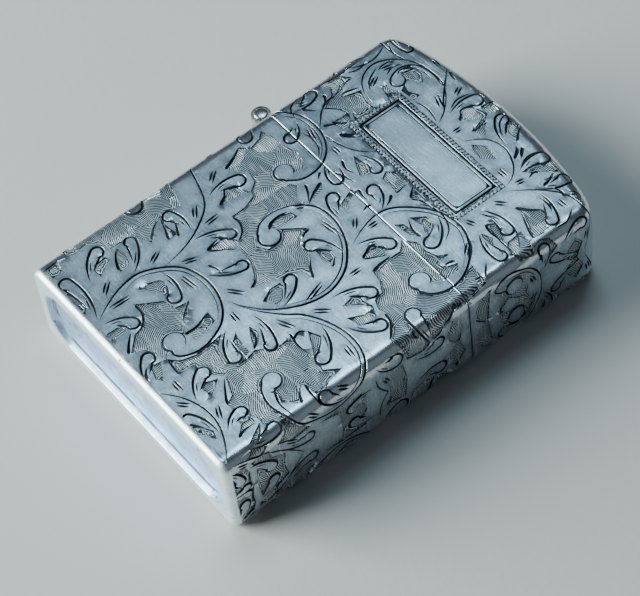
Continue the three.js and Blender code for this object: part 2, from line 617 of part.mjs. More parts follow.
function flintWheel() {
  const thumbWidth = (WHEEL_WIDTH - WHEEL_STRIKING_WIDTH) / 2;
  const thumb = toothedOutline(WHEEL_RADIUS, WHEEL_TEETH, WHEEL_TOOTH_DEPTH);
  const striking = toothedOutline(WHEEL_STRIKING_RADIUS, WHEEL_STRIKING_TEETH, WHEEL_TOOTH_DEPTH / 2);
  const offset = (WHEEL_WIDTH - thumbWidth) / 2;
  return joined(
    plateOf(striking, WHEEL_STRIKING_WIDTH + 0.1),
    plateOf(thumb, thumbWidth, MID_Z - offset),
    plateOf(thumb, thumbWidth, MID_Z + offset),
  ).subtract(rod(AXLE_RADIUS + RUNNING_CLEARANCE, WHEEL_X, WHEEL_Y, 0, CASE_DEPTH));
}

// A rivet whose two heads hold a pair of ears from outside.
function rivetThrough(x, y, shank, head, headHeight, outer) {
  const from = outer + SEAT_GAP;
  const to = from + headHeight;
  return turnedThrough([
    [0, -to], [head * 0.6, -to], [head, -from - headHeight * 0.4], [head, -from], [shank, -from],
    [shank, from], [head, from], [head, from + headHeight * 0.4], [head * 0.6, to], [0, to],
  ], x, y, 20);
}

const wheelAxle = () => rivetThrough(
  WHEEL_X, WHEEL_Y, AXLE_RADIUS, AXLE_HEAD_RADIUS, AXLE_HEAD_HEIGHT, EAR_INNER_Z + CHIMNEY_WALL,
);

// Flint feed: tube, flint, pusher, coil spring and the screw that loads it from below.

const flintTube = () => turnedUp([
  [FLINT_TUBE_BORE, TUBE_BOTTOM_Y], [FLINT_TUBE_RADIUS, TUBE_BOTTOM_Y],
  [FLINT_TUBE_RADIUS, FLINT_TOP_Y - 1.1], [FLINT_TUBE_RADIUS - 0.2, FLINT_TOP_Y - 0.9],
  [FLINT_TUBE_BORE, FLINT_TOP_Y - 0.9], [FLINT_TUBE_BORE, TUBE_BOTTOM_Y],
], WHEEL_X);

const flint = () => turnedUp([
  [0, FLINT_TOP_Y - FLINT_LENGTH], [FLINT_RADIUS, FLINT_TOP_Y - FLINT_LENGTH], [FLINT_RADIUS, FLINT_TOP_Y],
  [0, FLINT_TOP_Y],
], WHEEL_X);

const PUSHER_TOP_Y = FLINT_TOP_Y - FLINT_LENGTH - SEAT_GAP;
const springPusher = () => turnedUp([
  [0, PUSHER_TOP_Y - PUSHER_LENGTH], [PUSHER_NECK_RADIUS, PUSHER_TOP_Y - PUSHER_LENGTH],
  [PUSHER_NECK_RADIUS, PUSHER_TOP_Y - PUSHER_LENGTH / 2], [FLINT_RADIUS, PUSHER_TOP_Y - PUSHER_LENGTH / 2],
  [FLINT_RADIUS, PUSHER_TOP_Y - 0.2], [FLINT_RADIUS - 0.3, PUSHER_TOP_Y], [0, PUSHER_TOP_Y],
], WHEEL_X);

// An unbroken coil from the screw's shank to the pusher's collar.
function flintSpring() {
  const from = SCREW_SHANK_TOP_Y + SEAT_GAP + SPRING_WIRE_RADIUS;
  const to = PUSHER_TOP_Y - PUSHER_LENGTH / 2 - SEAT_GAP - SPRING_WIRE_RADIUS;
  const stepsPerCurl = 8;
  const sides = 5;
  const steps = SPRING_CURLS * stepsPerCurl;
  const centre = (t) => new THREE.Vector3(
    WHEEL_X + SPRING_COIL_RADIUS * Math.cos(2 * Math.PI * SPRING_CURLS * t),
    from + (to - from) * t,
    MID_Z + SPRING_COIL_RADIUS * Math.sin(2 * Math.PI * SPRING_CURLS * t),
  );
  const rings = [];
  for (let i = 0; i <= steps; i++) {
    const here = centre(i / steps);
    const out = new THREE.Vector3(here.x - WHEEL_X, 0, here.z - MID_Z).normalize();
    const up = new THREE.Vector3(0, 1, 0);
    rings.push(Array.from({ length: sides }, (_, k) => {
      const angle = 2 * Math.PI * k / sides;
      return here.clone()
        .addScaledVector(out, SPRING_WIRE_RADIUS * Math.cos(angle))
        .addScaledVector(up, SPRING_WIRE_RADIUS * Math.sin(angle));
    }));
  }
  let leastGap = Infinity;
  for (let i = 0; i < steps - stepsPerCurl; i++) {
    for (let j = i + stepsPerCurl - 1; j < Math.min(steps, i + 2 * stepsPerCurl); j++) {
      leastGap = Math.min(leastGap, centre(i / steps).distanceTo(centre(j / steps)) - 2 * SPRING_WIRE_RADIUS);
    }
  }
  console.log('flint spring: least gap between turns ' + leastGap.toFixed(2) + ' mm');
  return loft(rings, centre(0), centre(1));
}

function springScrew() {
  const headTop = SCREW_BOTTOM_Y + SCREW_HEAD_HEIGHT;
  const turned = turnedUp([
    [0, SCREW_BOTTOM_Y], [SCREW_HEAD_RADIUS - 0.2, SCREW_BOTTOM_Y], [SCREW_HEAD_RADIUS, SCREW_BOTTOM_Y + 0.2],
    [SCREW_HEAD_RADIUS, headTop], [SCREW_SHANK_RADIUS, headTop], [SCREW_SHANK_RADIUS, SCREW_SHANK_TOP_Y],
    [0, SCREW_SHANK_TOP_Y],
  ], WHEEL_X);
  return turned.subtract(block(
    WHEEL_X - SCREW_HEAD_RADIUS - 1, WHEEL_X + SCREW_HEAD_RADIUS + 1, SCREW_BOTTOM_Y - 1,
    SCREW_BOTTOM_Y + SCREW_SLOT_DEPTH, MID_Z - SCREW_SLOT_WIDTH / 2, MID_Z + SCREW_SLOT_WIDTH / 2,
  ));
}

// Lid cam: a flat lever whose nose bears on the lid's tail, pressed by a leaf spring under the plate.

function cam() {
  const pivot = new THREE.Vector2(CAM_PIVOT_X, CAM_PIVOT_Y);
  const lever = plateOf(taperedBar(pivot, CAM_HUB_RADIUS, CAM_NOSE, CAM_NOSE_RADIUS), CAM_THICKNESS);
  return lever.subtract(
    rod(CAM_RIVET_RADIUS + RUNNING_CLEARANCE, CAM_PIVOT_X, CAM_PIVOT_Y, 0, CASE_DEPTH, 20),
  );
}

const camRivet = () => rivetThrough(
  CAM_PIVOT_X, CAM_PIVOT_Y, CAM_RIVET_RADIUS, CAM_RIVET_HEAD_RADIUS, CAM_RIVET_HEAD_HEIGHT,
  CAM_SLOT_HALF + CAM_EAR_THICKNESS,
);

// The leaf runs flat under the plate, then bows down to press on the back of the cam.
function camSpring() {
  const top = PLATE_UNDER_Y - SEAT_GAP;
  const run = top - CAM_SPRING_THICKNESS / 2;
  const pivot = new THREE.Vector2(CAM_PIVOT_X, CAM_PIVOT_Y);
  const arm = CAM_NOSE.clone().sub(pivot).normalize();
  const back = new THREE.Vector2(-arm.y, arm.x);
  const reach = (CAM_HUB_RADIUS + CAM_NOSE_RADIUS) / 2 + INSERT_FIT + CAM_SPRING_THICKNESS / 2;
  const tip = pivot.clone().lerp(CAM_NOSE, 0.62).addScaledVector(back, reach);
  const at = (x, y) => new THREE.Vector3(x, y, 0);
  const past = (along, away) => at(tip.x + arm.x * along + back.x * away, tip.y + arm.y * along + back.y * away);
  const bendX = CAM_SPRING_RIVET_X - 1.2;
  const curve = new THREE.CurvePath();
  curve.add(new THREE.LineCurve3(at(CAM_SPRING_ROOT_X, run), at(bendX, run)));
  curve.add(new THREE.CubicBezierCurve3(at(bendX, run), at(bendX - 2.5, run), past(-2, 0), past(0, 0)));
  curve.add(new THREE.QuadraticBezierCurve3(past(0, 0), past(0.6, 0), past(1, 0.4)));
  const steps = 18;
  const rings = [];
  for (let i = 0; i <= steps; i++) {
    const point = curve.getPoint(i / steps);
    const along = curve.getTangent(i / steps);
    const normal = new THREE.Vector3(-along.y, along.x, 0);
    rings.push([[1, 1], [1, -1], [-1, -1], [-1, 1]].map(([a, b]) => new THREE.Vector3(
      point.x + normal.x * a * CAM_SPRING_THICKNESS / 2,
      point.y + normal.y * a * CAM_SPRING_THICKNESS / 2,
      MID_Z + b * CAM_SPRING_WIDTH / 2,
    )));
  }
  const middleOf = (ring) => ring[0].clone().add(ring[2]).multiplyScalar(0.5);
  const leaf = loft(rings, middleOf(rings[0]), middleOf(rings[steps]));
  return leaf.subtract(post(CAM_SPRING_RIVET_RADIUS + SEAT_GAP, CAM_SPRING_RIVET_X, top - 3, top + 1, 16));
}

function camSpringRivet() {
  const head = CAM_SPRING_RIVET_RADIUS + 0.4;
  const over = PLATE_TOP_Y + SEAT_GAP;
  const under = PLATE_UNDER_Y - 2 * SEAT_GAP - CAM_SPRING_THICKNESS - 0.12;
  return turnedUp([
    [0, under - 0.3], [head * 0.7, under - 0.3], [head, under], [CAM_SPRING_RIVET_RADIUS, under],
    [CAM_SPRING_RIVET_RADIUS, over], [head, over], [head * 0.7, over + 0.3], [0, over + 0.3],
  ], CAM_SPRING_RIVET_X, 16);
}

// Wick and fuel packing

function wickSolid(radius, extra = 0) {
  const top = PLATE_TOP_Y + WICK_RISE + extra;
  const points = [[WICK_X, top], [WICK_X, PLATE_TOP_Y], ...WICK_ROUTE].map(
    ([x, y]) => new THREE.Vector3(x, y, MID_Z),
  );
  const route = new THREE.CatmullRomCurve3(points, false, 'centripetal');
  const sides = 12;
  const section = new THREE.Shape(Array.from({ length: sides }, (_, i) => {
    const angle = 2 * Math.PI * i / sides;
    return new THREE.Vector2(radius * Math.cos(angle), radius * Math.sin(angle));
  }));
  return solidOf(new THREE.ExtrudeGeometry(section, { steps: 30, extrudePath: route }));
}

// A tuft of cotton pressed into the tube: a sphere squared off towards a block.
function packingBall(index) {
  const pitch = (PACKING_TOP - PACKING_BOTTOM_Y) / PACKING_BALLS;
  const middle = PACKING_BOTTOM_Y + pitch * (index + 0.5);
  const half = new THREE.Vector3(
    INSERT_HALF_WIDTH - INSERT_WALL - PACKING_CLEARANCE,
    pitch / 2 - PACKING_CLEARANCE / 2,
    INSERT_HALF_DEPTH - INSERT_WALL - PACKING_CLEARANCE,
  );
  const squareness = 0.45;
  const ball = new THREE.SphereGeometry(1, 20, 10);
  const at = ball.attributes.position;
  const swell = (value) => Math.sign(value) * Math.abs(value) ** squareness;
  for (let i = 0; i < at.count; i++) {
    const point = new THREE.Vector3(swell(at.getX(i)), swell(at.getY(i)), swell(at.getZ(i))).multiply(half);
    at.setXYZ(i, INSERT_MID_X + point.x, middle + point.y, MID_Z + point.z);
  }
  return lessAll(solidOf(ball), [
    wickSolid(WICK_RADIUS + PACKING_CLEARANCE),
    post(FLINT_TUBE_RADIUS + PACKING_CLEARANCE, WHEEL_X, BASE_Y, CROWN_Y),
  ]);
}

function feltPad() {
  const pad = columnOf(
    roundedRect(
      INSERT_MID_X, MID_Z, INSERT_HALF_WIDTH - INSERT_WALL - SEAT_GAP * 3, INSERT_HALF_DEPTH - INSERT_WALL - SEAT_GAP * 3,
      INSERT_CORNER_RADIUS,
    ),
    FELT_BOTTOM_Y, FELT_BOTTOM_Y + FELT_THICKNESS,
  );
  return pad.subtract(post(SCREW_HEAD_RADIUS + PACKING_CLEARANCE, WHEEL_X, BASE_Y, PACKING_BOTTOM_Y + 1));
}

const lighter = new THREE.Group();
lighter.add(
  meshOf('case_body', caseBody(), finishes.silver),
  meshOf('lid', lid(), finishes.silver),
  meshOf('case_hinge_plate', caseHingePlate(), finishes.hinge),
  meshOf('lid_hinge_plate', lidHingePlate(), finishes.hinge),
  meshOf('hinge_pin', hingePin(), finishes.steel),
  meshOf('insert_case', insertCase(), finishes.steel),
  meshOf('chimney', chimney(), finishes.steel),
  meshOf('wick_grommet', wickGrommet(), finishes.brass),
  meshOf('flint_wheel', flintWheel(), finishes.toolSteel),
  meshOf('wheel_axle', wheelAxle(), finishes.steel),
  meshOf('flint_tube', flintTube(), finishes.brass),
  meshOf('flint', flint(), finishes.flint),
  meshOf('spring_pusher', springPusher(), finishes.brass),
  meshOf('flint_spring', flintSpring(), finishes.steel),
  meshOf('spring_screw', springScrew(), finishes.brass),
  meshOf('cam', cam(), finishes.steel),
  meshOf('cam_rivet', camRivet(), finishes.steel),
  meshOf('cam_spring', camSpring(), finishes.toolSteel),
  meshOf('cam_spring_rivet', camSpringRivet(), finishes.steel),
  meshOf('wick', wickSolid(WICK_RADIUS), finishes.wick),
  meshOf('felt_pad', feltPad(), finishes.felt),
);
for (let i = 0; i < PACKING_BALLS; i++) {
  lighter.add(meshOf('packing_ball_' + (i + 1), packingBall(i), finishes.cotton));
}

export default lighter;
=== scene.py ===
import random
from math import atan2, ceil, copysign, cos, degrees, pi, radians, sin, sqrt

import bmesh
import bpy
import numpy as np
from mathutils import Matrix, Vector, noise
from mathutils.geometry import delaunay_2d_cdt
from mathutils.kdtree import KDTree


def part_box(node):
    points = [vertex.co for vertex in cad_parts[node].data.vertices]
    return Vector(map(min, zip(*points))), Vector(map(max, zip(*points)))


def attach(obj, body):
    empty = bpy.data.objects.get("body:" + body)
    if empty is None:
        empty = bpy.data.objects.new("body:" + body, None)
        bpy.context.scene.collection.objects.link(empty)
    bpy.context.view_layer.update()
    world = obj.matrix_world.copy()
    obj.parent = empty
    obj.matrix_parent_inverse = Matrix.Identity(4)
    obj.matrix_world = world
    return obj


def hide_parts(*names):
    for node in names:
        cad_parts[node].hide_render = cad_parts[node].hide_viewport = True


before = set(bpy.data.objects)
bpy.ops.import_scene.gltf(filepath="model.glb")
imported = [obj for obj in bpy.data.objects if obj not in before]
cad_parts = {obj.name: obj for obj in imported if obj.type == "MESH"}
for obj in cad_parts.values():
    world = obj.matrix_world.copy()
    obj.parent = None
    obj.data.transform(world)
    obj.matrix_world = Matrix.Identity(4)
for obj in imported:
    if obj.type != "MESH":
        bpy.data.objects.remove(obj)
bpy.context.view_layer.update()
MM = 0.001


# table top, light and camera
# A plain pale table. A wide window light stands low at the left of the base end, a small soft one hangs over
# the left side so that the front mirrors its edge, and a weak one fills in from the right. The camera looks
# down on the front, the base end and the right side.

CAMERA_AZIMUTH, CAMERA_HEIGHT, CAMERA_ROLL = radians(59.12), radians(53.256), radians(-9.063)
CAMERA_DISTANCE = 323.588 * MM
CAMERA_TARGET = Vector((3.456, -3.675, 6.5)) * MM
CAMERA_LENS = 155.03


def tuned(node, **values):
    """Sets a node's settings and sockets by name, with _ for a space; another node's output is joined on."""
    for name, value in values.items():
        socket = node.inputs.get(name.replace("_", " "))
        if socket is None:
            setattr(node, name, value)
        elif isinstance(value, bpy.types.NodeSocket):
            node.id_data.links.new(value, socket)
        else:
            socket.default_value = value
    return node


class Nodes:
    """Adds nodes to one tree. A term is a number, a colour or another node's output."""

    def __init__(self, tree):
        self.tree = tree

    def add(self, kind, **values):
        return tuned(self.tree.nodes.new(kind), **values)

    def feed(self, sockets, terms):
        for socket, term in zip(sockets, terms):
            if isinstance(term, bpy.types.NodeSocket):
                self.tree.links.new(term, socket)
            else:
                socket.default_value = (*term, 1) if isinstance(term, tuple) else term

    def math(self, operation, *terms, clamp=False):
        node = self.add("ShaderNodeMath", operation=operation, use_clamp=clamp)
        self.feed(node.inputs, terms)
        return node.outputs[0]

    def times(self, a, b):
        return self.math("MULTIPLY", a, b)

    def plus(self, a, b):
        return self.math("ADD", a, b)

    def less(self, a, b):
        return self.math("SUBTRACT", a, b)

    def reach(self, a, b):
        """How long a step of a and b at right angles is."""
        return self.math("SQRT", self.plus(self.times(a, a), self.times(b, b)))

    def between(self, value, low, high, out_low=0.0, out_high=1.0):
        node = self.add("ShaderNodeMapRange", Value=value, From_Min=low, From_Max=high)
        return tuned(node, To_Min=out_low, To_Max=out_high).outputs["Result"]

    def mix(self, share, a, b):
        node = self.add("ShaderNodeMix", data_type="RGBA")
        self.feed((node.inputs[0], node.inputs[6], node.inputs[7]), (share, a, b))
        return node.outputs[2]

    def tinted(self, colour, value, low, high, share, tint):
        """The colour with up to that share of a tint, as a value goes from low to high."""
        return self.mix(self.between(value, low, high, 0.0, share), colour, tint)

    def noise(self, vector, scale, detail=2.0, roughness=0.5, distortion=0.0):
        node = self.add("ShaderNodeTexNoise", Vector=vector, Scale=scale, Detail=detail, Roughness=roughness)
        return tuned(node, Distortion=distortion).outputs["Fac"]

    def turned(self, vector, angles=(0, 0, 0), scale=(1, 1, 1)):
        return self.add("ShaderNodeMapping", Vector=vector, Rotation=angles, Scale=scale).outputs["Vector"]

    def axes(self, vector):
        return self.add("ShaderNodeSeparateXYZ", Vector=vector).outputs

    def away_from(self, vector, x, y, z):
        """How far in metres the vector is from a point given in millimetres."""
        node = self.add("ShaderNodeVectorMath", operation="DISTANCE", Vector=vector)
        node.inputs[1].default_value = Vector((x, y, z)) * MM
        return node.outputs["Value"]

    def bump(self, height, strength, distance, **below):
        node = self.add("ShaderNodeBump", Height=height, Strength=strength, Distance=distance, **below)
        return node.outputs["Normal"]


def material(name):
    """An empty node material: its node helper, its object coordinates and its surface shader."""
    made = bpy.data.materials.new(name)
    made.use_nodes = True
    nodes = Nodes(made.node_tree)
    made.node_tree.nodes.clear()
    shader = nodes.add("ShaderNodeBsdfPrincipled")
    nodes.add("ShaderNodeOutputMaterial", Surface=shader.outputs[0])
    return made, nodes, nodes.add("ShaderNodeTexCoord").outputs["Object"], shader


def finished(bm, name, finish, smooth_angle=30):
    """Makes a bmesh in metres into an object, with faces smooth up to that angle."""
    bmesh.ops.remove_doubles(bm, verts=bm.verts, dist=1e-7)
    mesh = bpy.data.meshes.new(name)
    bm.to_mesh(mesh)
    bm.free()
    for polygon in mesh.polygons:
        polygon.use_smooth = True
    mesh.set_sharp_from_angle(angle=radians(smooth_angle))
    mesh.materials.append(finish)
    made = bpy.data.objects.new(name, mesh)
    bpy.context.scene.collection.objects.link(made)
    return made


def soft_light(name, place, size, power, colour):
    """A rectangular lamp that faces the lighter."""
    lamp = bpy.data.lights.new(name, "AREA")
    lamp.shape, lamp.size, lamp.size_y, lamp.energy, lamp.color = "RECTANGLE", *size, power, colour
    holder = bpy.data.objects.new(name, lamp)
    holder.location = place
    holder.rotation_euler = (-Vector(place)).to_track_quat("-Z", "Y").to_euler()
    bpy.context.scene.collection.objects.link(holder)


bm = bmesh.new()
bmesh.ops.create_grid(bm, x_segments=8, y_segments=8, size=1.5)
table_finish, nodes, place, shader = material("pale_table")
tuned(shader, Base_Color=(0.62, 0.6, 0.57, 1), Roughness=0.75)
tuned(shader, Normal=nodes.bump(nodes.noise(place, 900, 3), 0.1, 0.0002))
table = finished(bm, "table_top", table_finish)

world = bpy.data.worlds.new("studio")
world.use_nodes = True
tuned(world.node_tree.nodes["Background"], Color=(0.72, 0.85, 1.0, 1), Strength=0.07)
bpy.context.scene.world = world
soft_light("window", (-0.40, -0.54, 0.30), (0.52, 0.58), 15.0, (0.88, 0.98, 1.0))
soft_light("overhead", (-0.12, 0.125, 0.45), (0.17, 0.16), 0.66, (0.56, 0.84, 1.0))
soft_light("fill", (0.50, 0.16, 0.34), (0.5, 0.5), 0.09, (0.72, 0.9, 1.0))

toward = Vector((
    sin(CAMERA_AZIMUTH) * cos(CAMERA_HEIGHT), -cos(CAMERA_AZIMUTH) * cos(CAMERA_HEIGHT), sin(CAMERA_HEIGHT),
))
level = Vector((cos(CAMERA_AZIMUTH), sin(CAMERA_AZIMUTH), 0))
across = cos(CAMERA_ROLL) * level + sin(CAMERA_ROLL) * toward.cross(level)
turned = Matrix((across, toward.cross(across), toward)).transposed()
camera = bpy.data.objects.new("camera", bpy.data.cameras.new("camera"))
camera.data.lens = CAMERA_LENS
camera.data.clip_start = 0.01
camera.matrix_world = Matrix.Translation(CAMERA_TARGET + toward * CAMERA_DISTANCE) @ turned.to_4x4()
bpy.context.scene.collection.objects.link(camera)
bpy.context.scene.camera = camera


# case_body
# The lower shell: silver sheet drawn into an oblong cup, its base pressed in to leave a flat rim, polished by
# wear and brightened with a painted highlight.
# An engraver has cut scrolling leaves all over the outside. The leaves are left at the full height, their
# outlines are tapered cuts, and the ground between them is cut back and hatched.

HALF_WIDTH, HALF_DEPTH, CORNER, WALL = 19.05, 6.375, 1.7, 0.7
BASE_Y, CROWN_Y, SEAM_Y, SEAM_HALF_GAP = -28.7, 28.7, 6.4, 0.075
FRONT_FLAT = HALF_WIDTH - CORNER
CORNER_RUN = CORNER * pi / 2
SIDE_FLAT = HALF_DEPTH - CORNER
SIDE_MIDDLE = FRONT_FLAT + CORNER_RUN + SIDE_FLAT
CORNER_STEPS = 6
STEP = 0.34
CUT_HALF, CUT_DEPTH = 0.49, 0.15
GROUND_DEPTH, MOAT_WIDTH = 0.1, 0.11
LEAF_RISE, BURR = 0.02, 0.018
WINDOW_HALF, WINDOW_REACH = 5.105, 1.45


def around(u, lift=0.0):
    """Where a distance round the shell lies in x and z, from the front's middle line."""
    s = abs(u)
    if s <= FRONT_FLAT:
        x, z = s, HALF_DEPTH + lift
    elif s <= FRONT_FLAT + CORNER_RUN:
        turn = (s - FRONT_FLAT) / CORNER
        x, z = FRONT_FLAT + (CORNER + lift) * sin(turn), SIDE_FLAT + (CORNER + lift) * cos(turn)
    else:
        x, z = HALF_WIDTH + lift, SIDE_MIDDLE - s
    return copysign(x, u), z


def points_of(flat):
    return [Vector((flat[i], flat[i + 1])) for i in range(0, len(flat), 2)]


def flowing(points, step=STEP):
    """A smooth line through the points, in even steps."""
    if len(points) == 2:
        count = max(2, ceil((points[1] - points[0]).length / step))
        return [points[0].lerp(points[1], i / count) for i in range(count + 1)]
    ends = [points[0] * 2 - points[1], *points, points[-1] * 2 - points[-2]]
    line = []
    for a, b, c, d in zip(ends, ends[1:], ends[2:], ends[3:]):
        count = max(1, ceil((c - b).length / step))
        for i in range(count):
            t = i / count
            line.append(0.5 * (2 * b + (c - a) * t + (2 * a - 5 * b + 4 * c - d) * t * t
                               + (3 * b - a - 3 * c + d) * t ** 3))
    return [*line, points[-1]]


def round_bit(x, y, radius, start, sweep, steps=None):
    """Points on a circle, from an angle and over a sweep in degrees."""
    steps = steps or max(4, round(abs(sweep) / 12))
    turns = [radians(start + sweep * i / steps) for i in range(steps + 1)]
    return [(x + radius * cos(turn), y + radius * sin(turn)) for turn in turns]


def arc(x, y, radius, start, sweep):
    """As round_bit, in the graver's own steps."""
    steps = max(3, ceil(abs(radians(sweep)) * radius / STEP))
    return [Vector(p) for p in round_bit(x, y, radius, start, sweep, steps)]


def bent(a, b, c, count):
    """Points on a curve that leaves a towards b and comes to c."""
    return [a * (1 - t) ** 2 + b * 2 * t * (1 - t) + c * t * t for t in (i / count for i in range(count + 1))]


class Engraving:
    """What the graver does to an unrolled surface: cuts, cut-back grounds, and tips left standing in them."""

    def __init__(self):
        self.cuts, self.grounds, self.tips = [], [], []

    def follow(self, line, width, head=0.3, tail=0.3):
        """A cut along a line, as wide as given, that comes to a point over its head and tail shares."""
        lengths = [0.0]
        for a, b in zip(line, line[1:]):
            lengths.append(lengths[-1] + (b - a).length)
        halves = []
        for length in lengths:
            t = length / max(lengths[-1], 1e-6)
            halves.append(width * CUT_HALF * max(min(1.0, t / head, (1 - t) / tail), 0.0) ** 0.6)
        self.cuts.append((line, halves))

    def cut(self, width, *flat):
        self.follow(flowing(points_of(flat)), width)

    def wedge(self, width, *flat):
        """A short stab that starts wide and runs out to a point."""
        self.follow(flowing(points_of(flat)), width, 0.12, 0.88)

    def ground(self, *flat):
        self.grounds.append(points_of(flat))

    def dashes(self, x, y, angle, length):
        """A pair of short cuts side by side."""
        along = Vector((cos(radians(angle)), sin(radians(angle))))
        aside = Vector((-along.y, along.x)) * 0.2
        for side, share in ((1, 1.0), (-1, 0.82)):
            middle, reach = Vector((x, y)) + aside * side, along * length * share / 2
            self.follow(flowing([middle - reach, middle + reach]), 0.34, 0.45, 0.45)

    def hook(self, width, x, y, radius, sweep, *flat):
        """A long cut that ends by curling round a bulb: the last point given is where it meets the bulb."""
        line = points_of(flat)
        start = degrees(atan2(line[-1].y - y, line[-1].x - x))
        bulb = arc(x, y, radius, start, sweep)
        self.follow([*flowing(line)[:-1], *bulb], width * 1.15, 0.2, 0.1)
        self.tips.append([*bulb, *arc(x, y, radius, start + sweep, copysign(360, sweep) - sweep)[1:-1]])
        self.second(flowing(line), copysign(0.55, sweep))

    def second(self, line, gap):
        """A finer cut beside the first, over its middle part."""
        part = line[len(line) // 6: -max(1, len(line) // 5)]
        beside = []
        for before, here, after in zip(part, part[1:], part[2:]):
            way = (after - before).normalized()
            beside.append(here + Vector((-way.y, way.x)) * gap)
        if len(beside) > 2:
            self.follow(beside, 0.2, 0.3, 0.5)

    def leaf(self, x0, y0, x, y, radius, side):
        """A finger from its root to a round bulb; side is 1 where it curls left as it goes, or -1."""
        root, bulb = Vector((x0, y0)), Vector((x, y))
        way = (bulb - root).normalized()
        out = Vector((way.y, -way.x)) * side
        length = (bulb - root).length
        count = max(4, ceil(length / STEP))
        knee = root + way * length * 0.5 + out * (0.12 * length + radius * 0.9)
        back = bent(root, knee, bulb + out * radius, count)[:-1]
        round_tip = arc(x, y, radius, degrees(atan2(out.y, out.x)), 262 * side)
        self.follow([*back, *round_tip], 0.37, 0.3, 0.08)
        if length > 2.6:
            self.second(back, 0.42 * side)
        knee = root + way * length * 0.5 + out * (0.12 * length * 0.7 - radius * 0.35)
        belly = bent(bulb - out * radius * 0.95, knee, root, count)
        self.follow(belly[1: max(4, int(count * 0.75))], 0.37 * 0.85, 0.2, 0.6)
        self.tips.append([*back, *round_tip[:round(len(round_tip) * 0.74)], *belly[1:-1]])

    def joined(self, other):
        whole = Engraving()
        whole.cuts, whole.grounds = self.cuts + other.cuts, self.grounds + other.grounds
        whole.tips = self.tips + other.tips
        return whole

    def part(self, low, high):
        """What reaches into a stretch of the shell's length."""
        share = Engraving()
        reaches = lambda line: max(p.y for p in line) > low - 1 and min(p.y for p in line) < high + 1
        share.cuts = [c for c in self.cuts if reaches(c[0])]
        share.grounds = [g for g in self.grounds if reaches(g)]
        share.tips = [t for t in self.tips if reaches(t)]
        return share


def inside(points, outline):
    """Which of the points lie in a closed outline."""
    x, y = points[:, 0], points[:, 1]
    within = np.zeros(len(points), bool)
    for a, b in zip(outline, [*outline[1:], outline[0]]):
        if a.y != b.y:
            within ^= ((a.y > y) != (b.y > y)) & (x < (b.x - a.x) * (y - a.y) / (b.y - a.y) + a.x)
    return within


def closed_steps(outline, step):
    line = []
    for a, b in zip(outline, [*outline[1:], outline[0]]):
        count = max(1, ceil((b - a).length / step))
        line += [a.lerp(b, i / count) for i in range(count)]
    return line


def strides(low, high, step):
    while low < high:
        yield low
        low += step


def spokes(count, reach):
    return [Vector((cos(k * 2 * pi / count), sin(k * 2 * pi / count))) * reach for k in range(count)]


def ends_of(outline):
    """The lowest and highest x and y of an outline."""
    x, y = [p.x for p in outline], [p.y for p in outline]
    return min(x), max(x), min(y), max(y)


def as_array(points):
    return np.array([tuple(p) for p in points])


def tree_of(points):
    tree = KDTree(len(points))
    for i, p in enumerate(points):
        tree.insert((p.x, p.y, 0), i)
    tree.balance()
    return tree


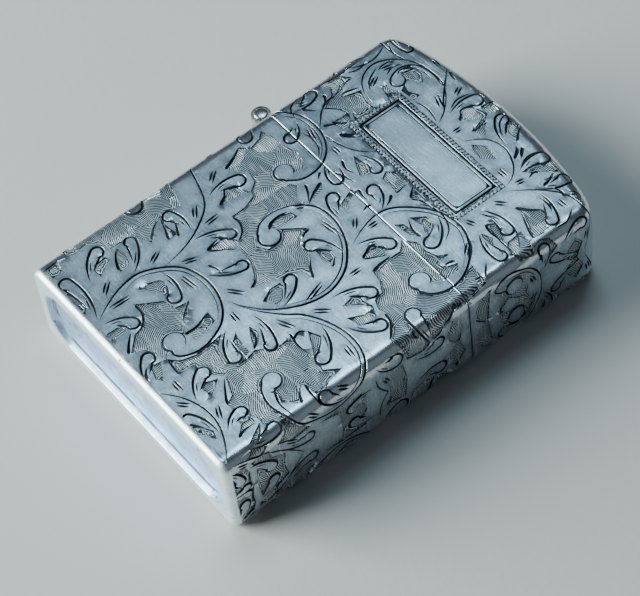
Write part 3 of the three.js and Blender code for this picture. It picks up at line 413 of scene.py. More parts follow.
class Flat:
    """An engraved surface laid flat: its mesh's points and lines, and how far places are from the graver's
    edges. A shore is where ground and leaf meet, and a moat is the deeper line that runs beside it."""

    def __init__(self, work, domain, guides):
        self.work, self.domain, self.verts, self.edges = work, domain, [], []
        self.left, self.right, self.low, self.high = ends_of(domain)
        self.add_line(closed_steps(domain, 1.2), True)
        for guide in guides:
            self.add_line(guide)
        self.middles, self.halves, self.goes_on = [], [], []
        for line, halves in work.cuts:
            self.add_cut(line, halves)
        shores = []
        for outlines, step in ((work.grounds, 0.5), (work.tips, 0.4)):
            for outline in outlines:
                line = closed_steps(outline, step)
                self.add_line(line, True)
                shores += line
        nudges, places = spokes(6, 0.06), as_array(shores)
        nudged = np.concatenate([places + np.array(tuple(n)) for n in nudges])
        low = self.is_ground(nudged).reshape(len(nudges), -1)
        self.shores = [s for s, is_border in zip(shores, low.any(0) & ~low.all(0)) if is_border]
        self.shore_tree, self.cut_tree = tree_of(self.shores), tree_of(self.middles)

    def add_line(self, line, closed=False):
        first = len(self.verts)
        self.verts.extend(line)
        self.edges.extend((first + i, first + i + 1) for i in range(len(line) - 1))
        if closed:
            self.edges.append((len(self.verts) - 1, first))

    def add_cut(self, line, halves):
        """Adds a cut's middle line and its two sides."""
        left, right = [], []
        for i, (here, half) in enumerate(zip(line, halves)):
            way = (line[min(i + 1, len(line) - 1)] - line[max(i - 1, 0)]).normalized()
            aside = Vector((-way.y, way.x)) * half
            left.append(here + aside)
            right.append(here - aside)
        self.middles += line
        self.halves += halves
        self.goes_on += [True] * (len(line) - 1) + [False]
        self.add_line(line)
        self.add_line([line[0], *left[1:-1], line[-1]])
        self.add_line([line[0], *right[1:-1], line[-1]])

    def is_ground(self, points):
        low = np.zeros(len(points), bool)
        for outline in self.work.grounds:
            low |= inside(points, outline)
        for outline in self.work.tips:
            low &= ~inside(points, outline)
        return low

    def off_shore(self, p):
        return self.shore_tree.find((p.x, p.y, 0))[2]

    def into_cut(self, p):
        """How far a place is from a cut's middle, as a share of the cut's half width, and the half width."""
        best, best_half = 9.0, 0.0
        for _, i, distance in self.cut_tree.find_n((p.x, p.y, 0), 7):
            if distance > 0.6:
                break
            for j in (i - 1, i):
                if j < 0 or not self.goes_on[j]:
                    continue
                a, b = self.middles[j], self.middles[j + 1]
                span = (b - a).length_squared
                t = min(1.0, max(0.0, (p - a).dot(b - a) / span)) if span > 0 else 0.0
                half = self.halves[j] * (1 - t) + self.halves[j + 1] * t
                share = (p - a.lerp(b, t)).length / max(half, 0.012)
                if share < best:
                    best, best_half = share, half
        return best, best_half

    def off_edges(self, p):
        """How far a leaf's point is from the nearest cut or ground, at most 1."""
        off_cuts = (d - self.halves[i] for _, i, d in self.cut_tree.find_n((p.x, p.y, 0), 4))
        return max(0.0, min(1.0, self.off_shore(p), *off_cuts))

    def ground_points(self, pick):
        """Points for the moats' inner edges, and loose ones that carry the hatching."""
        found = []
        for shore in self.shores:
            for spoke in spokes(8, MOAT_WIDTH):
                p = shore + spoke
                if self.off_shore(p) > MOAT_WIDTH * 0.93:
                    found.append(p)
        for outline in self.work.grounds:
            left, right, low, high = ends_of(outline)
            for y in strides(low, high, 0.5):
                for x in strides(left, right, 0.55):
                    p = Vector((x + pick.uniform(-0.12, 0.12), y + pick.uniform(-0.12, 0.12)))
                    if self.off_shore(p) > 0.3:
                        found.append(p)
        return found

    def leaf_points(self, pick):
        """Loose points on the leaves, for their slight swell."""
        found = []
        for row in range(int((self.high - self.low) / 0.75)):
            for column in range(int((self.right - self.left) / 0.8)):
                x = self.left + 0.8 * (column + pick.uniform(0.2, 0.8))
                p = Vector((x, self.low + 0.75 * (row + pick.uniform(0.2, 0.8))))
                if self.off_edges(p) > 0.22:
                    found.append(p)
        return found

    def add_loose(self, pick):
        """Adds the loose points, where there is room for them."""
        in_ground, on_leaves = self.ground_points(pick), self.leaf_points(pick)
        spread = as_array(on_leaves)
        keep = ~self.is_ground(spread) & inside(spread, self.domain)
        off_corners = lambda p: min((p - corner).length for corner in self.domain[:2]) > 0.4
        self.verts.extend(p for p, k in zip(on_leaves, keep) if k and off_corners(p))
        spread = as_array(in_ground)
        keep = self.is_ground(spread) & inside(spread, self.domain)
        in_ground = [p for p, k in zip(in_ground, keep) if k and self.into_cut(p)[0] > 1.3]
        tree, gone = tree_of(in_ground), set()
        for i, p in enumerate(in_ground):
            if i not in gone:
                self.verts.append(p)
                gone.update(j for _, j, d in tree.find_range((p.x, p.y, 0), 0.14) if j > i)

    def marks_at(self, p, on_ground):
        """A place's height, its distance from the shore, and its share of a cut's depth and a leaf's swell."""
        shore = self.off_shore(p)
        base = 0.0
        if on_ground and shore > 0.02:
            moat = 1.5 if shore < MOAT_WIDTH * 1.4 else 1.0
            base = -GROUND_DEPTH * moat * min(1.0, shore / (MOAT_WIDTH * 0.8))
        share, half = self.into_cut(p)
        depth = min(CUT_DEPTH, half * 1.1) * max(0.0, 1 - share)
        fade = min(1.0, max(0.0, (p.y - self.low) / 0.35)) if self.low < 0 else 1.0
        rise = 0.0 if on_ground or share < 1.02 else self.off_edges(p)
        rise *= min(1.0, max(0.0, min(p.y - self.low, self.high - p.y) / 0.6))
        burr = BURR * min(1.0, half / 0.12) * fade if not on_ground and 0.95 < share < 1.05 else 0.0
        deep = max(0.0, 1 - share) * fade * min(1.0, max(0.0, (half - 0.03) / 0.06))
        return min(base, -depth) * fade + LEAF_RISE * rise + burr, shore if on_ground else 0.0, deep, rise


def engraved(work, domain, guides, seed):
    """Triangulates an unrolled surface. Gives its points, their marks, and its faces, each with a 1 for a cut,
    a 2 for the ground or a 0."""
    flat = Flat(work, domain, guides)
    flat.add_loose(random.Random(seed))
    points, _, triangles = delaunay_2d_cdt(flat.verts, flat.edges, [], 0, 1e-5, False)[:3]
    array = as_array(points)
    marks = [flat.marks_at(p, on_ground) for p, on_ground in zip(points, flat.is_ground(array))]
    centres = array[np.array(triangles)].mean(1)
    kept_faces, ground_faces = inside(centres, domain), flat.is_ground(centres)
    faces = []
    for corners, centre, kept, on_ground in zip(triangles, centres, kept_faces, ground_faces):
        if kept:
            share, half = flat.into_cut(Vector(centre))
            faces.append((corners, 1 if share < 1.0 and half > 0.02 else 2 if on_ground else 0))
    return points, marks, faces


# The design, in millimetres round the shell and along it. It runs from the lid on to the body.

scrolls = Engraving()
for hook in (
    (0.3, -3.5, -5, 1.35, 292, 0.4, -14.4, 2.5, -13.3, 4.8, -11.5, 6.5, -9, 7.4, -6.5, 7.4, -4, 6.3, -1.5,
     4.5, 0.3, 2.5, 1.5, 0, 2.2, -2.5, 2.1, -4.2, 1.2, -5.6, -0.5, -6.2, -2.7, -5.8, -4.7, -4.6, -6),
    (0.3, 1.1, -22.3, 1.35, -290, -7, -27.3, -8.3, -25, -9.3, -22.5, -9.6, -19.8, -8.5, -17.2, -6.8, -15.3,
     -4.5, -14.4, -2, -14.3, 0.5, -15, 2.5, -16.5, 3.7, -18.8, 4, -21, 3.3, -22.9, 2.2, -23.5),
    (0.28, 13.2, 4, 1.25, -290, 4.1, 1.2, 2.9, 3.9, 2.4, 6.4, 3, 8.5, 5, 10.7, 7, 12, 9, 12.5, 11, 12.5,
     13.5, 11.3, 15.3, 9.5, 16.3, 7.5, 16.4, 5.5, 15.6, 3.8, 14.2, 2.9),
    (0.28, -10.1, 2.2, 1.2, -290, -21.5, 5.6, -18, 7.5, -15.5, 9.1, -12.5, 9.4, -10, 8.6, -8.3, 7, -7.6, 5,
     -7.8, 3, -9, 1.4),
    (0.28, 12.8, -17.2, 1.15, -290, 0.9, -14.3, 4, -12.6, 6.5, -10.6, 8, -9, 10.5, -7.6, 13.5, -6.8, 16.5,
     -7.1, 19, -8.6, 20.6, -11, 21.1, -13.5, 20.5, -16, 19.2, -18.2, 16, -19.4, 13.5, -19.1, 12.1, -18.1),
    (0.26, -11.9, 21.2, 0.95, 235, -7.4, 24.7, -10.2, 25, -12.3, 24.4, -13.3, 22.8, -12.9, 21, -12.2, 20.3),
    (0.26, 22, 13.2, 1.2, 265, 25.5, 17.1, 22.8, 16.9, 20.5, 15.5, 19.4, 13.3, 19.5, 11.2, 20.6, 10.3, 22,
     12),
):
    scrolls.hook(*hook)
for cut in (
    (0.28, -24.8, -3.9, -21.5, -5, -18.5, -5.7, -14, -7, -12, -8.2, -10.3, -10.5, -9.2, -12.8, -8.5, -15.5,
     -8.4, -17.2), (0.26, 5.2, -28.2, 8, -26.2, 11, -25.2, 14, -25.4, 17, -26.8, 18.6, -28.2),
    (0.28, -3.3, 20.5, -5, 23, -7.5, 24.8, -10, 25.1, -13, 24.5, -15.2, 22.6, -16, 20.5, -15.3, 18.5, -13.6,
     17.2, -10.6, 16.6), (0.26, -9.7, 27.2, -6, 23.5, -4.4, 22.3, -3.3, 20.5),
    (0.26, 0.6, 20.8, 2.5, 23.2, 5, 23.9, 7.5, 23, 8.9, 21.6, 9.4, 20.2),
    (0.26, 9.8, 19.7, 12.5, 22.8, 15, 24.6, 17.5, 25, 20.5, 25, 24.8, 23.6),
    (0.24, 10.3, 12.5, 12.5, 12, 13.9, 11.2, 15.3, 9.7),
    (0.26, 18.9, -28.2, 19.5, -25, 21.4, -21.4, 24, -18.8, 25.5, -17.8),
    (0.24, 20.9, -7.5, 23, -7.1, 25.5, -5.4),
    (0.26, -24.8, 20.4, -22, 22.6, -19.5, 23.6, -17, 23.5, -14.6, 23.7),
    (0.26, -18.6, -28.2, -19.6, -25.6, -21.6, -22.6, -25.5, -20.6),
    (0.24, -17.6, 23.9, -16.6, 21.4, -16.9, 19.2, -17.9, 17.6),
    (0.26, -16.9, 16.3, -15.5, 14.6, -14.9, 12, -12.3, 9.4),
    (0.26, -11.4, 9.3, -9, 9.7, -7, 10.5, -5.6, 11.6, -5, 12.3),
    (0.26, -8, 20.5, -6.5, 21, -5, 20.9, -3.6, 20.5), (0.26, -17.5, 24.1, -15.5, 23.6, -13.4, 24.2),
    (0.26, 10.3, 15.9, 12.8, 16.9, 15.3, 16.8, 17.7, 15.3), (0.26, 12.5, 15, 14.5, 14.6, 17.5, 14.5),
    (0.26, 16.4, 11.3, 17.9, 9.9), (0.26, 10.4, 15.3, 11.8, 16, 13.2, 16.1),
    (0.26, 13.2, 22, 14.8, 22.2, 15.9, 21.7), (0.26, -4.4, 26.4, -4.7, 24.6, -4.1, 22.9),
    (0.26, 8, 26.6, 7.7, 25, 8.3, 23.5), (0.26, 0.9, 27.3, 1.6, 25.9, 3.2, 24.9),
    (0.26, 4.4, 10.8, 5.8, 11.8, 8, 12, 9.8, 11.2, 10.9, 9.7), (0.26, -15.3, 20.6, -14.3, 18.7, -12.9, 17.7),
    (0.26, -13.7, 23.3, -14, 22, -13.5, 20.7), (0.26, -14.8, 22.9, -15.1, 21.6, -14.8, 20.4),
    (0.26, -16.7, 20.2, -16.6, 18.6, -17.1, 17.4), (0.26, 17, 23.9, 18, 22.2, 17.9, 20.6),
    (0.26, -18.3, 10.7, -17.3, 8.9, -15.6, 8.3), (0.26, -13.9, 7.3, -12, 7.9, -10.2, 7.6, -8.9, 6.6),
    (0.26, -6.4, 7.6, -4.6, 7.2, -3, 7.6),
):
    scrolls.cut(*cut)
for leaf in (
    (-3.6, 22.6, -3.1, 26.2, 0.9, -1), (4.6, 24.4, 1.3, 26.5, 0.85, -1), (8.7, 23, 9, 26.2, 0.9, -1),
    (12.3, 22.9, 13.1, 26.1, 0.85, 1), (12.6, 22.4, 16.8, 21, 0.75, -1), (10.2, 15.8, 14.4, 16.2, 0.8, -1),
    (12.6, 13.4, 16.8, 13.2, 0.75, 1), (-16.6, 8.9, -17.3, 11.9, 0.8, 1), (-18.8, 25, -15, 25.4, 0.6, 1),
    (-17.2, 21, -18.2, 17, 0.75, 1), (-15.2, 8.1, -13.6, 6, 0.8, -1), (-7.8, 6.7, -4.9, 6.2, 0.8, 1),
    (2.2, 7.3, -0.7, 8.4, 0.8, 1), (0.2, 2.9, -3, 4.1, 0.8, -1), (4.3, 1.8, 6.8, 4.8, 0.8, -1),
    (4.2, 0.1, 0.8, -2.1, 0.85, 1), (5.6, -10, 3.1, -7, 0.75, 1), (8.4, -5, 10.8, -1.2, 0.8, -1),
    (12.6, -6.4, 15.1, -3.3, 0.85, 1), (21.6, 0.8, 16.4, 0.4, 0.95, -1), (-21.5, 3, -17.5, 2, 0.95, -1),
    (-13.2, -6.6, -12.7, -2.6, 0.9, -1), (-9.1, -11.9, -6.9, -8.1, 0.7, -1),
    (-4, -13.8, -2.3, -9.9, 0.75, 1), (-10.6, -11.2, -14, -12, 0.75, 1), (-10, -19.9, -14, -17.6, 0.75, 1),
    (-12.4, -24.5, -15.4, -21.5, 0.8, -1), (-22.5, -12.6, -18.1, -14.3, 1.15, -1),
    (-7.4, -27.1, -14, -26.9, 0.85, 1), (-8, -17.5, -3.9, -18.5, 0.85, -1),
    (-6.3, -27, -4.2, -24.3, 0.8, -1), (4, -28, 1, -25.9, 0.8, -1), (10.5, -8.3, 14.3, -11, 0.9, -1),
    (4.2, -13.3, 8.9, -14.3, 0.75, -1), (3.8, -16.9, 7.5, -18.4, 0.85, 1),
    (9.4, -25.2, 6.8, -22.4, 0.85, -1), (15, -25, 13.9, -22.4, 0.75, -1), (18.2, -25, 18.1, -20.9, 0.85, 1),
    (14.6, -25.9, 10.8, -27.5, 0.75, 1), (7.2, 11.6, 9.9, 8.6, 0.95, -1), (-6, 10.4, -3, 10.7, 0.75, -1),
    (19.2, -7.3, 20.2, -4.5, 1.05, 1), (20.4, -11.2, 18.6, -13.9, 0.85, -1),
    (20.2, 20.6, 19.2, 23.7, 0.7, -1), (22.6, 17.3, 19.3, 17.9, 0.8, 1), (23.6, 22.2, 21.9, 19.3, 0.75, -1),
    (22.2, -8, 23.3, -11, 0.8, 1), (22.6, -1.6, 22.3, 1.6, 0.9, 1), (21.6, -21, 22.7, -17.2, 0.75, 1),
    (20.8, -25.6, 23.4, -22.6, 0.8, -1), (-20, -25.8, -22.6, -24.6, 0.75, 1),
    (-21.6, -6, -20.6, -9, 0.8, -1), (-22.4, -17.2, -20.2, -19.4, 0.8, -1),
    (-21, 14.9, -22.6, 18.2, 0.8, -1), (-20.2, 9, -22.4, 12, 0.75, 1), (-21.8, -1.4, -19.6, -2.6, 0.7, -1),
    (19.6, -28.3, 22.4, -26.9, 0.75, -1), (24.4, -28.4, 24, -26.2, 0.6, 1),
):
    scrolls.leaf(*leaf)
for ground in (
    (-15.3, 4.6, -13, 4.8, -11.3, 5.3, -9.6, 4.9, -8.9, 4.4, -9.2, 3.2, -8.9, 1.7, -8.2, 1.6, -7.3, 2.2,
     -5.8, 1, -4.6, 1.2, -5.7, -0.5, -6.25, -2.7, -5.8, -4.8, -4.7, -6.1, -3.3, -6.9, -5.4, -8.2, -6.2, -7,
     -7.5, -6.3, -8.9, -6.4, -9, -4.5, -9.7, -2.6, -10.4, -2.5, -11.3, -1.3, -13, -0.9, -15.1, -2.7, -16.8,
     0.4, -15.7, 1.5, -16.2, 3.2, -17, 4),
    (-4.4, -4.3, -5, -3.4, -5.1, -2, -4.75, -0.9, -3.65, -0.6, -3.7, -3.4, -1.6, -0.9, -1, -2.2, -0.2, -3,
     1.6, -3, 4.7, -4.9, 2.9, -5.3, 2.2, -6.6, 2, -8, 1, -11.1, 0.3, -10.1, -0.9, -9.4, -2.2, -8.8, -4.6,
     -8.7, -6.8, -11.6, -7.2, -9.3, -5.8, -8.1, -3.3, -6.9, -2.2, -6.2, -2.05, -4.9, -2.7, -3.9, -3.6, -3.7),
    (2.6, -8.2, 3.6, -8, 4.7, -8.9, 5.1, -10.3, 3.4, -11.3, 2.5, -9.6),
    (1.5, -1.3, 2.6, -0.9, 3.9, -1, 4.9, -2.1, 3, -2.4, 1.8, -2.3),
    (-12.6, -3.4, -11.6, -3.2, -10.4, -2.6, -11, -4.6, -11, -6.3, -13, -4.5),
    (5.3, 8.9, 6.5, 10.5, 7.7, 10.6, 8.6, 9.9, 9.2, 9.2, 8.2, 8.9, 7.4, 9.3),
    (4.9, 6.9, 7.2, 7.3, 8.6, 8.1, 7, 8.1, 5.6, 7.8),
    (12.4, 8.7, 11.8, 7.8, 10.4, 7.3, 8.9, 7.4, 7.2, 6.2, 8.4, 5, 8.3, 2.5, 8.7, 0.8, 10.2, 0.5, 11.6, -0.3,
     11.9, -1.6, 13.2, -2.1, 14.2, -1.8, 15.8, -2.1, 17.4, -3.8, 18.6, -3.5, 19.2, -3.2, 21.4, -2.9, 21.9,
     -0.6, 20.9, 2, 19.8, 3.1, 18.9, 4.4, 19.2, 6.3, 18.5, 9.6, 15.5, 9.9, 16.5, 7.5, 16.5, 5.5, 15.7, 3.7,
     14.4, 2.8, 13.2, 4, 14.3, 4.8, 15.1, 6, 15, 8.3, 14.2, 8.9, 13.6, 7.3, 12.9, 7.1),
    (9.6, -2.3, 11, -2.6, 12.5, -2.2, 10.1, -4.9),
    (12.6, -2.3, 13.8, -2.8, 13.9, -3.9, 13.6, -5, 11.7, -5.6, 12.6, -3.9),
    (5.3, 4.4, 6, 4, 6.6, 4, 7.8, 3.5, 6.3, 1.1, 5.4, 2.7), (-5.7, 4.6, -4.9, 4.1, -4.3, 1.5, -5.6, 3.3),
    (-6.4, 9.9, -4.2, 10.3, -2.8, 9.9, -3.4, 8.5, -5.3, 9.3),
    (-2.6, 6.7, -1.7, 6.3, -1.3, 5.2, -0.2, 4.3, -1.6, 3.9, -2.1, 5.2),
    (-17.6, 16.3, -16.2, 17.4, -15.7, 15.6, -14.5, 14.8, -13.8, 17, -11.9, 16.4, -10.6, 16.5, -10.5, 13.4,
     -11.6, 13.9, -12.8, 13.6, -14.7, 11.7, -15.3, 13.6, -16.6, 14.4, -17.9, 13.4),
    (-12.5, 19.8, -10.5, 19.9, -10.5, 18.6, -12.5, 19),
    (-12.7, 22.3, -12.2, 23.9, -11, 24.2, -9.5, 23.3, -10.9, 22.4, -11.3, 21.6),
    (-11, 21.5, -9.7, 21.1, -8.3, 21.8, -8.2, 20.7, -10.4, 20.5),
    (-3.5, 24, -2.6, 25.2, -0.6, 25.9, 0.2, 24.9, 0.3, 22.7, -0.4, 24.8, -1.9, 22.6, -3, 23.6),
    (-1.8, 27.8, -0.2, 27.9, -0.1, 26.4, -0.9, 25.8, -2, 25.9, -1.9, 27),
    (2.2, 27.2, 3.4, 27.6, 5.1, 25.6, 3, 25.5, 2, 26.2), (0.4, 25, 1, 24.2, 2, 23.5, 0.2, 22.7),
    (1.8, 21.3, 3.2, 22.6, 5.6, 22.2, 4.2, 20.7, 2.6, 20.9),
    (9.8, 26.9, 12.2, 26.6, 12.1, 25.2, 12.3, 23.6, 11.5, 25.6, 10.3, 24.2, 9, 23, 8.9, 25, 9.6, 25.6),
    (12.6, 18.9, 13.8, 20, 15.2, 21.4, 17, 20.2, 17.6, 19, 17.4, 17.5, 15.8, 18.3, 14, 19.1),
    (12, 14.9, 12.8, 15.9, 14.8, 15.6, 15.3, 14.7, 13.2, 14.6),
    (15.6, 17.2, 17.5, 17, 19, 16.5, 18.8, 14.5, 16.8, 14.3, 15.8, 15),
    (12.7, 13.6, 14.2, 14.2, 15.2, 13.4, 15, 12.8, 13.4, 13.3),
    (-2, 11.2, -1, 12.1, 1.3, 12, 1.5, 10.1, 0.2, 10.3, -1.3, 10.2),
    (2, 12.1, 4.4, 12.1, 5.2, 11.7, 3.3, 10.9),
    (-12, 13.7, -11.4, 13.4, -10.3, 12.2, -10.3, 11.4, -12.2, 11.3),
    (-19.6, -8.9, -17, -9.2, -14.3, -10, -15, -11.9, -14.4, -13.3, -12.9, -15, -12.2, -15.8, -13.9, -16.7,
     -14.9, -17.8, -14.5, -19, -14.6, -20, -16.2, -20.6, -17.2, -22, -17, -24.6, -18.9, -24.4, -20, -21.5,
     -19.8, -17.6, -21.5, -15.6, -21.8, -13.2, -21, -10.2),
    (-14.4, -19.4, -12.8, -19, -11.3, -19.6, -11.2, -21.1, -12.9, -20.6),
    (-14.3, -21.2, -13.6, -20.9, -12.2, -23.2, -13.9, -23.3),
    (-14.4, -12.9, -13, -13, -11.2, -12.7, -11.1, -14.1),
    (-7.7, -19.6, -7.2, -18.4, -6.3, -17.9, -5.1, -18, -4.9, -19.2, -6, -19.6, -7.7, -21),
    (-6.2, -22.5, -4.4, -19.8, -2.7, -19.3, -2.4, -17.6, -0.2, -19.8, 1.1, -20.9, 1.1, -22.3, 1.8, -23.8,
     2.5, -24.4, 1, -25, -0.2, -25.4, -0.9, -27, -2.7, -25.2, -3.2, -23.9, -4.5, -22.8),
    (0.3, -16.9, 1.9, -17, 2.5, -18.6, 2.3, -20.3, 1.2, -20.7, 1.1, -18.8),
    (3.8, -17.6, 5.2, -19, 7.5, -19.5, 8.5, -18.6, 8.5, -17.4, 8.2, -16.2, 8.9, -14.9, 9.6, -13.6, 9.5,
     -12.6, 10, -12.1, 12.9, -11.7, 14.3, -11.6, 15.6, -12, 16.8, -10.2, 17.2, -12.4, 17.9, -13.4, 17.8,
     -14.6, 15.7, -14.8, 15.5, -15.3, 17.6, -16.5, 16.4, -17.9, 14.1, -17.9, 12.8, -17.2, 12.2, -18.4, 13.5,
     -19.25, 16, -19.6, 18.6, -18.9, 19.9, -18, 21, -16.9, 21.3, -19, 20.2, -21.5, 18.9, -20, 17.2, -20.4,
     16.9, -21.6, 15.9, -21.5, 13.9, -22.5, 12.1, -23, 11.4, -21.8, 8.8, -20.8, 8, -21.5, 6.7, -22.5, 5.3,
     -22.5, 5.1, -24.4, 2.4, -24.4, 3.6, -23.4, 4.2, -21.5, 4.1, -19.5),
    (10.1, -10, 11.9, -9.2, 13.3, -10.2, 13.2, -11.5, 11.6, -10.7),
    (5.1, -14.6, 6.4, -14.2, 7.6, -15, 8.1, -16, 6.9, -15.6),
    (4.7, -16.2, 5.6, -16.5, 8, -16.7, 8.2, -17.4, 5.6, -17.3),
    (8, -22.9, 8.6, -21.6, 10.2, -23.7, 8.3, -23.7), (15.2, -22, 16, -21.9, 16.5, -24.6, 15.2, -23.4),
    (16.4, -21.7, 17.6, -22.6, 18.3, -23.1, 17.9, -24.3), (2.3, -25, 4.8, -26.4, 3.9, -27, 2, -26.4),
    (-4.9, -25.5, -3.8, -25.3, -3.7, -27.4, -5, -27.4),
    (-13.2, -26.5, -11, -26.3, -8.9, -27.6, -9.5, -28.2, -12.6, -28.2),
    (-17.6, -25.7, -16, -26.1, -15.7, -27.6, -17.5, -27.5),
    (11.8, -26.6, 13.6, -26.1, 15.1, -26.6, 12.6, -28.2, 11.9, -27.7),
    (18.4, 19.2, 20, 19.8, 21, 18.5, 20.4, 17, 18.3, 16.9, 17.9, 18),
    (20.9, 15, 22.5, 15.9, 25.3, 14.5, 23.4, 12.2, 25.3, 10.4, 22.4, 11, 20.9, 11.6, 20.2, 13.2),
    (19.4, 9.7, 21.8, 9.3, 25.3, 9, 23.4, 7.2, 21, 7.4, 19.9, 8.3),
    (20.9, 22.4, 22.5, 23.6, 25.3, 22.4, 23.2, 20.4, 22.2, 21.4),
    (20.2, 3.9, 22.2, 5.4, 25.3, 4.6, 23.6, 3.2, 21.6, 3.2), (21.6, -3.6, 25.3, -3, 25.3, -5.4, 22.2, -6.2),
    (21.6, -9.4, 22.6, -10, 25.3, -8.6, 25.3, -12.6, 22.4, -13, 21.7, -15.5, 21.4, -12.5),
    (20.2, -22.6, 21.6, -22.4, 22.6, -20.6, 25.3, -21, 25.3, -24.8, 21.6, -24.6, 20.2, -25.2),
    (-18.4, 14.6, -19, 16.4, -20.2, 16, -21, 18.6, -23, 20.1, -25.3, 19, -25.3, 15.2, -22.4, 14.6, -20.2,
     13.2), (-19.2, 9.4, -20, 11.4, -20.9, 13, -25.3, 13, -25.3, 9.6, -22, 8.2),
    (-18.6, 4.2, -20.4, 4.8, -25.3, 3, -25.3, -2.4, -22, -3.6, -19.4, -4.4, -18.2, -3.4, -18.4, -0.6, -19.6,
     0.9), (-22, -7, -25.3, -6, -25.3, -11.4, -22.2, -10.4),
    (-20.6, -17.6, -22.2, -15.6, -25.3, -14.8, -25.3, -18.6, -22.6, -20.4, -20.8, -21.4),
    (-20.4, -26.6, -21.4, -23.8, -25.3, -22.2, -25.3, -27),
    (20.4, -25.9, 21.6, -25.5, 23.2, -25.6, 25.3, -25.2, 25.3, -28.3, 22.8, -28.3, 20.6, -28.3, 20, -27.4),
    (17.6, -22.9, 18.9, -22.2, 20.2, -23.6, 19.4, -25.4, 18.4, -24.4),
    (19.2, 0.6, 19.9, -1.2, 19.2, -2.6, 18.4, -1.4), (-18.2, -19.2, -19.3, -20.4, -19, -22.4, -17.9, -21.4),
    (-18, -9.6, -19.2, -10.2, -19.4, -12.2, -18.2, -11.6),
):
    scrolls.ground(*ground)
for dashes in (
    (-10.1, -8.5, 95, 2.2), (-12.4, -9.3, -35, 2.2), (-7, -14, 72, 2.2), (-4.5, -16, 8, 3.2),
    (-10.2, -16.8, -62, 2.2), (-7.6, -23.7, 88, 3.2), (-10.4, -23.7, -48, 2.2), (0.2, -12.8, 38, 2.6),
    (3, -15, -5, 2), (7.8, -11.3, 25, 2.8), (15.5, -8.2, -8, 2.2), (6.3, -25.7, 0, 2),
    (12.3, -24.3, -25, 2.2), (8.8, -26.7, 42, 2), (16.7, -28, 0, 2.2), (6.4, -6, 108, 3.4),
    (9.1, -7, 50, 2.4), (0.3, 1.1, 8, 3.6), (3.3, 5.1, 90, 1.6), (1.7, 3.7, -40, 1.8), (7.3, -0.7, 90, 1.8),
    (-12.3, 8.2, -18, 2.8), (-8.4, 8.9, 0, 1.8), (-15.3, -4.5, -50, 2.2), (-1, 21.5, 90, 1.4),
    (7.6, 21.2, 0, 1.8), (-5.7, 25.5, -62, 1.6), (-6, 22.8, -22, 2.4), (6.5, 24.8, -45, 1.6),
    (10.9, 18.1, 42, 1.8), (10.8, 13.7, 25, 1.6), (-14.4, 21.6, 78, 2), (-13.8, 19, -60, 1.8),
    (15.8, 23.4, 4, 1.8), (15.5, 25.5, 50, 1.4), (-11, 26.5, -12, 1.6), (10, 21.9, 78, 1.4),
    (13.4, 11, -50, 2.4), (18.8, -11.6, 62, 1.8), (19.6, -16.2, 52, 1.8), (5.8, 3, 80, 1.4),
    (-4.6, 0.4, 60, 1.4), (21.6, 24.2, -12, 2), (23, 15.9, 22, 1.6), (21.4, -19.6, 55, 2),
    (-22.6, -4.1, -18, 2.2), (-22, 21.8, 32, 2.2), (-20.2, 7.8, 25, 1.8), (22.6, -6, 28, 1.8),
    (19.8, -26.2, 74, 1.6), (-21, -27.2, -40, 1.6), (-9.2, 11.4, 45, 2.4), (-16.9, 10.2, 60, 1.2),
):
    scrolls.dashes(*dashes)
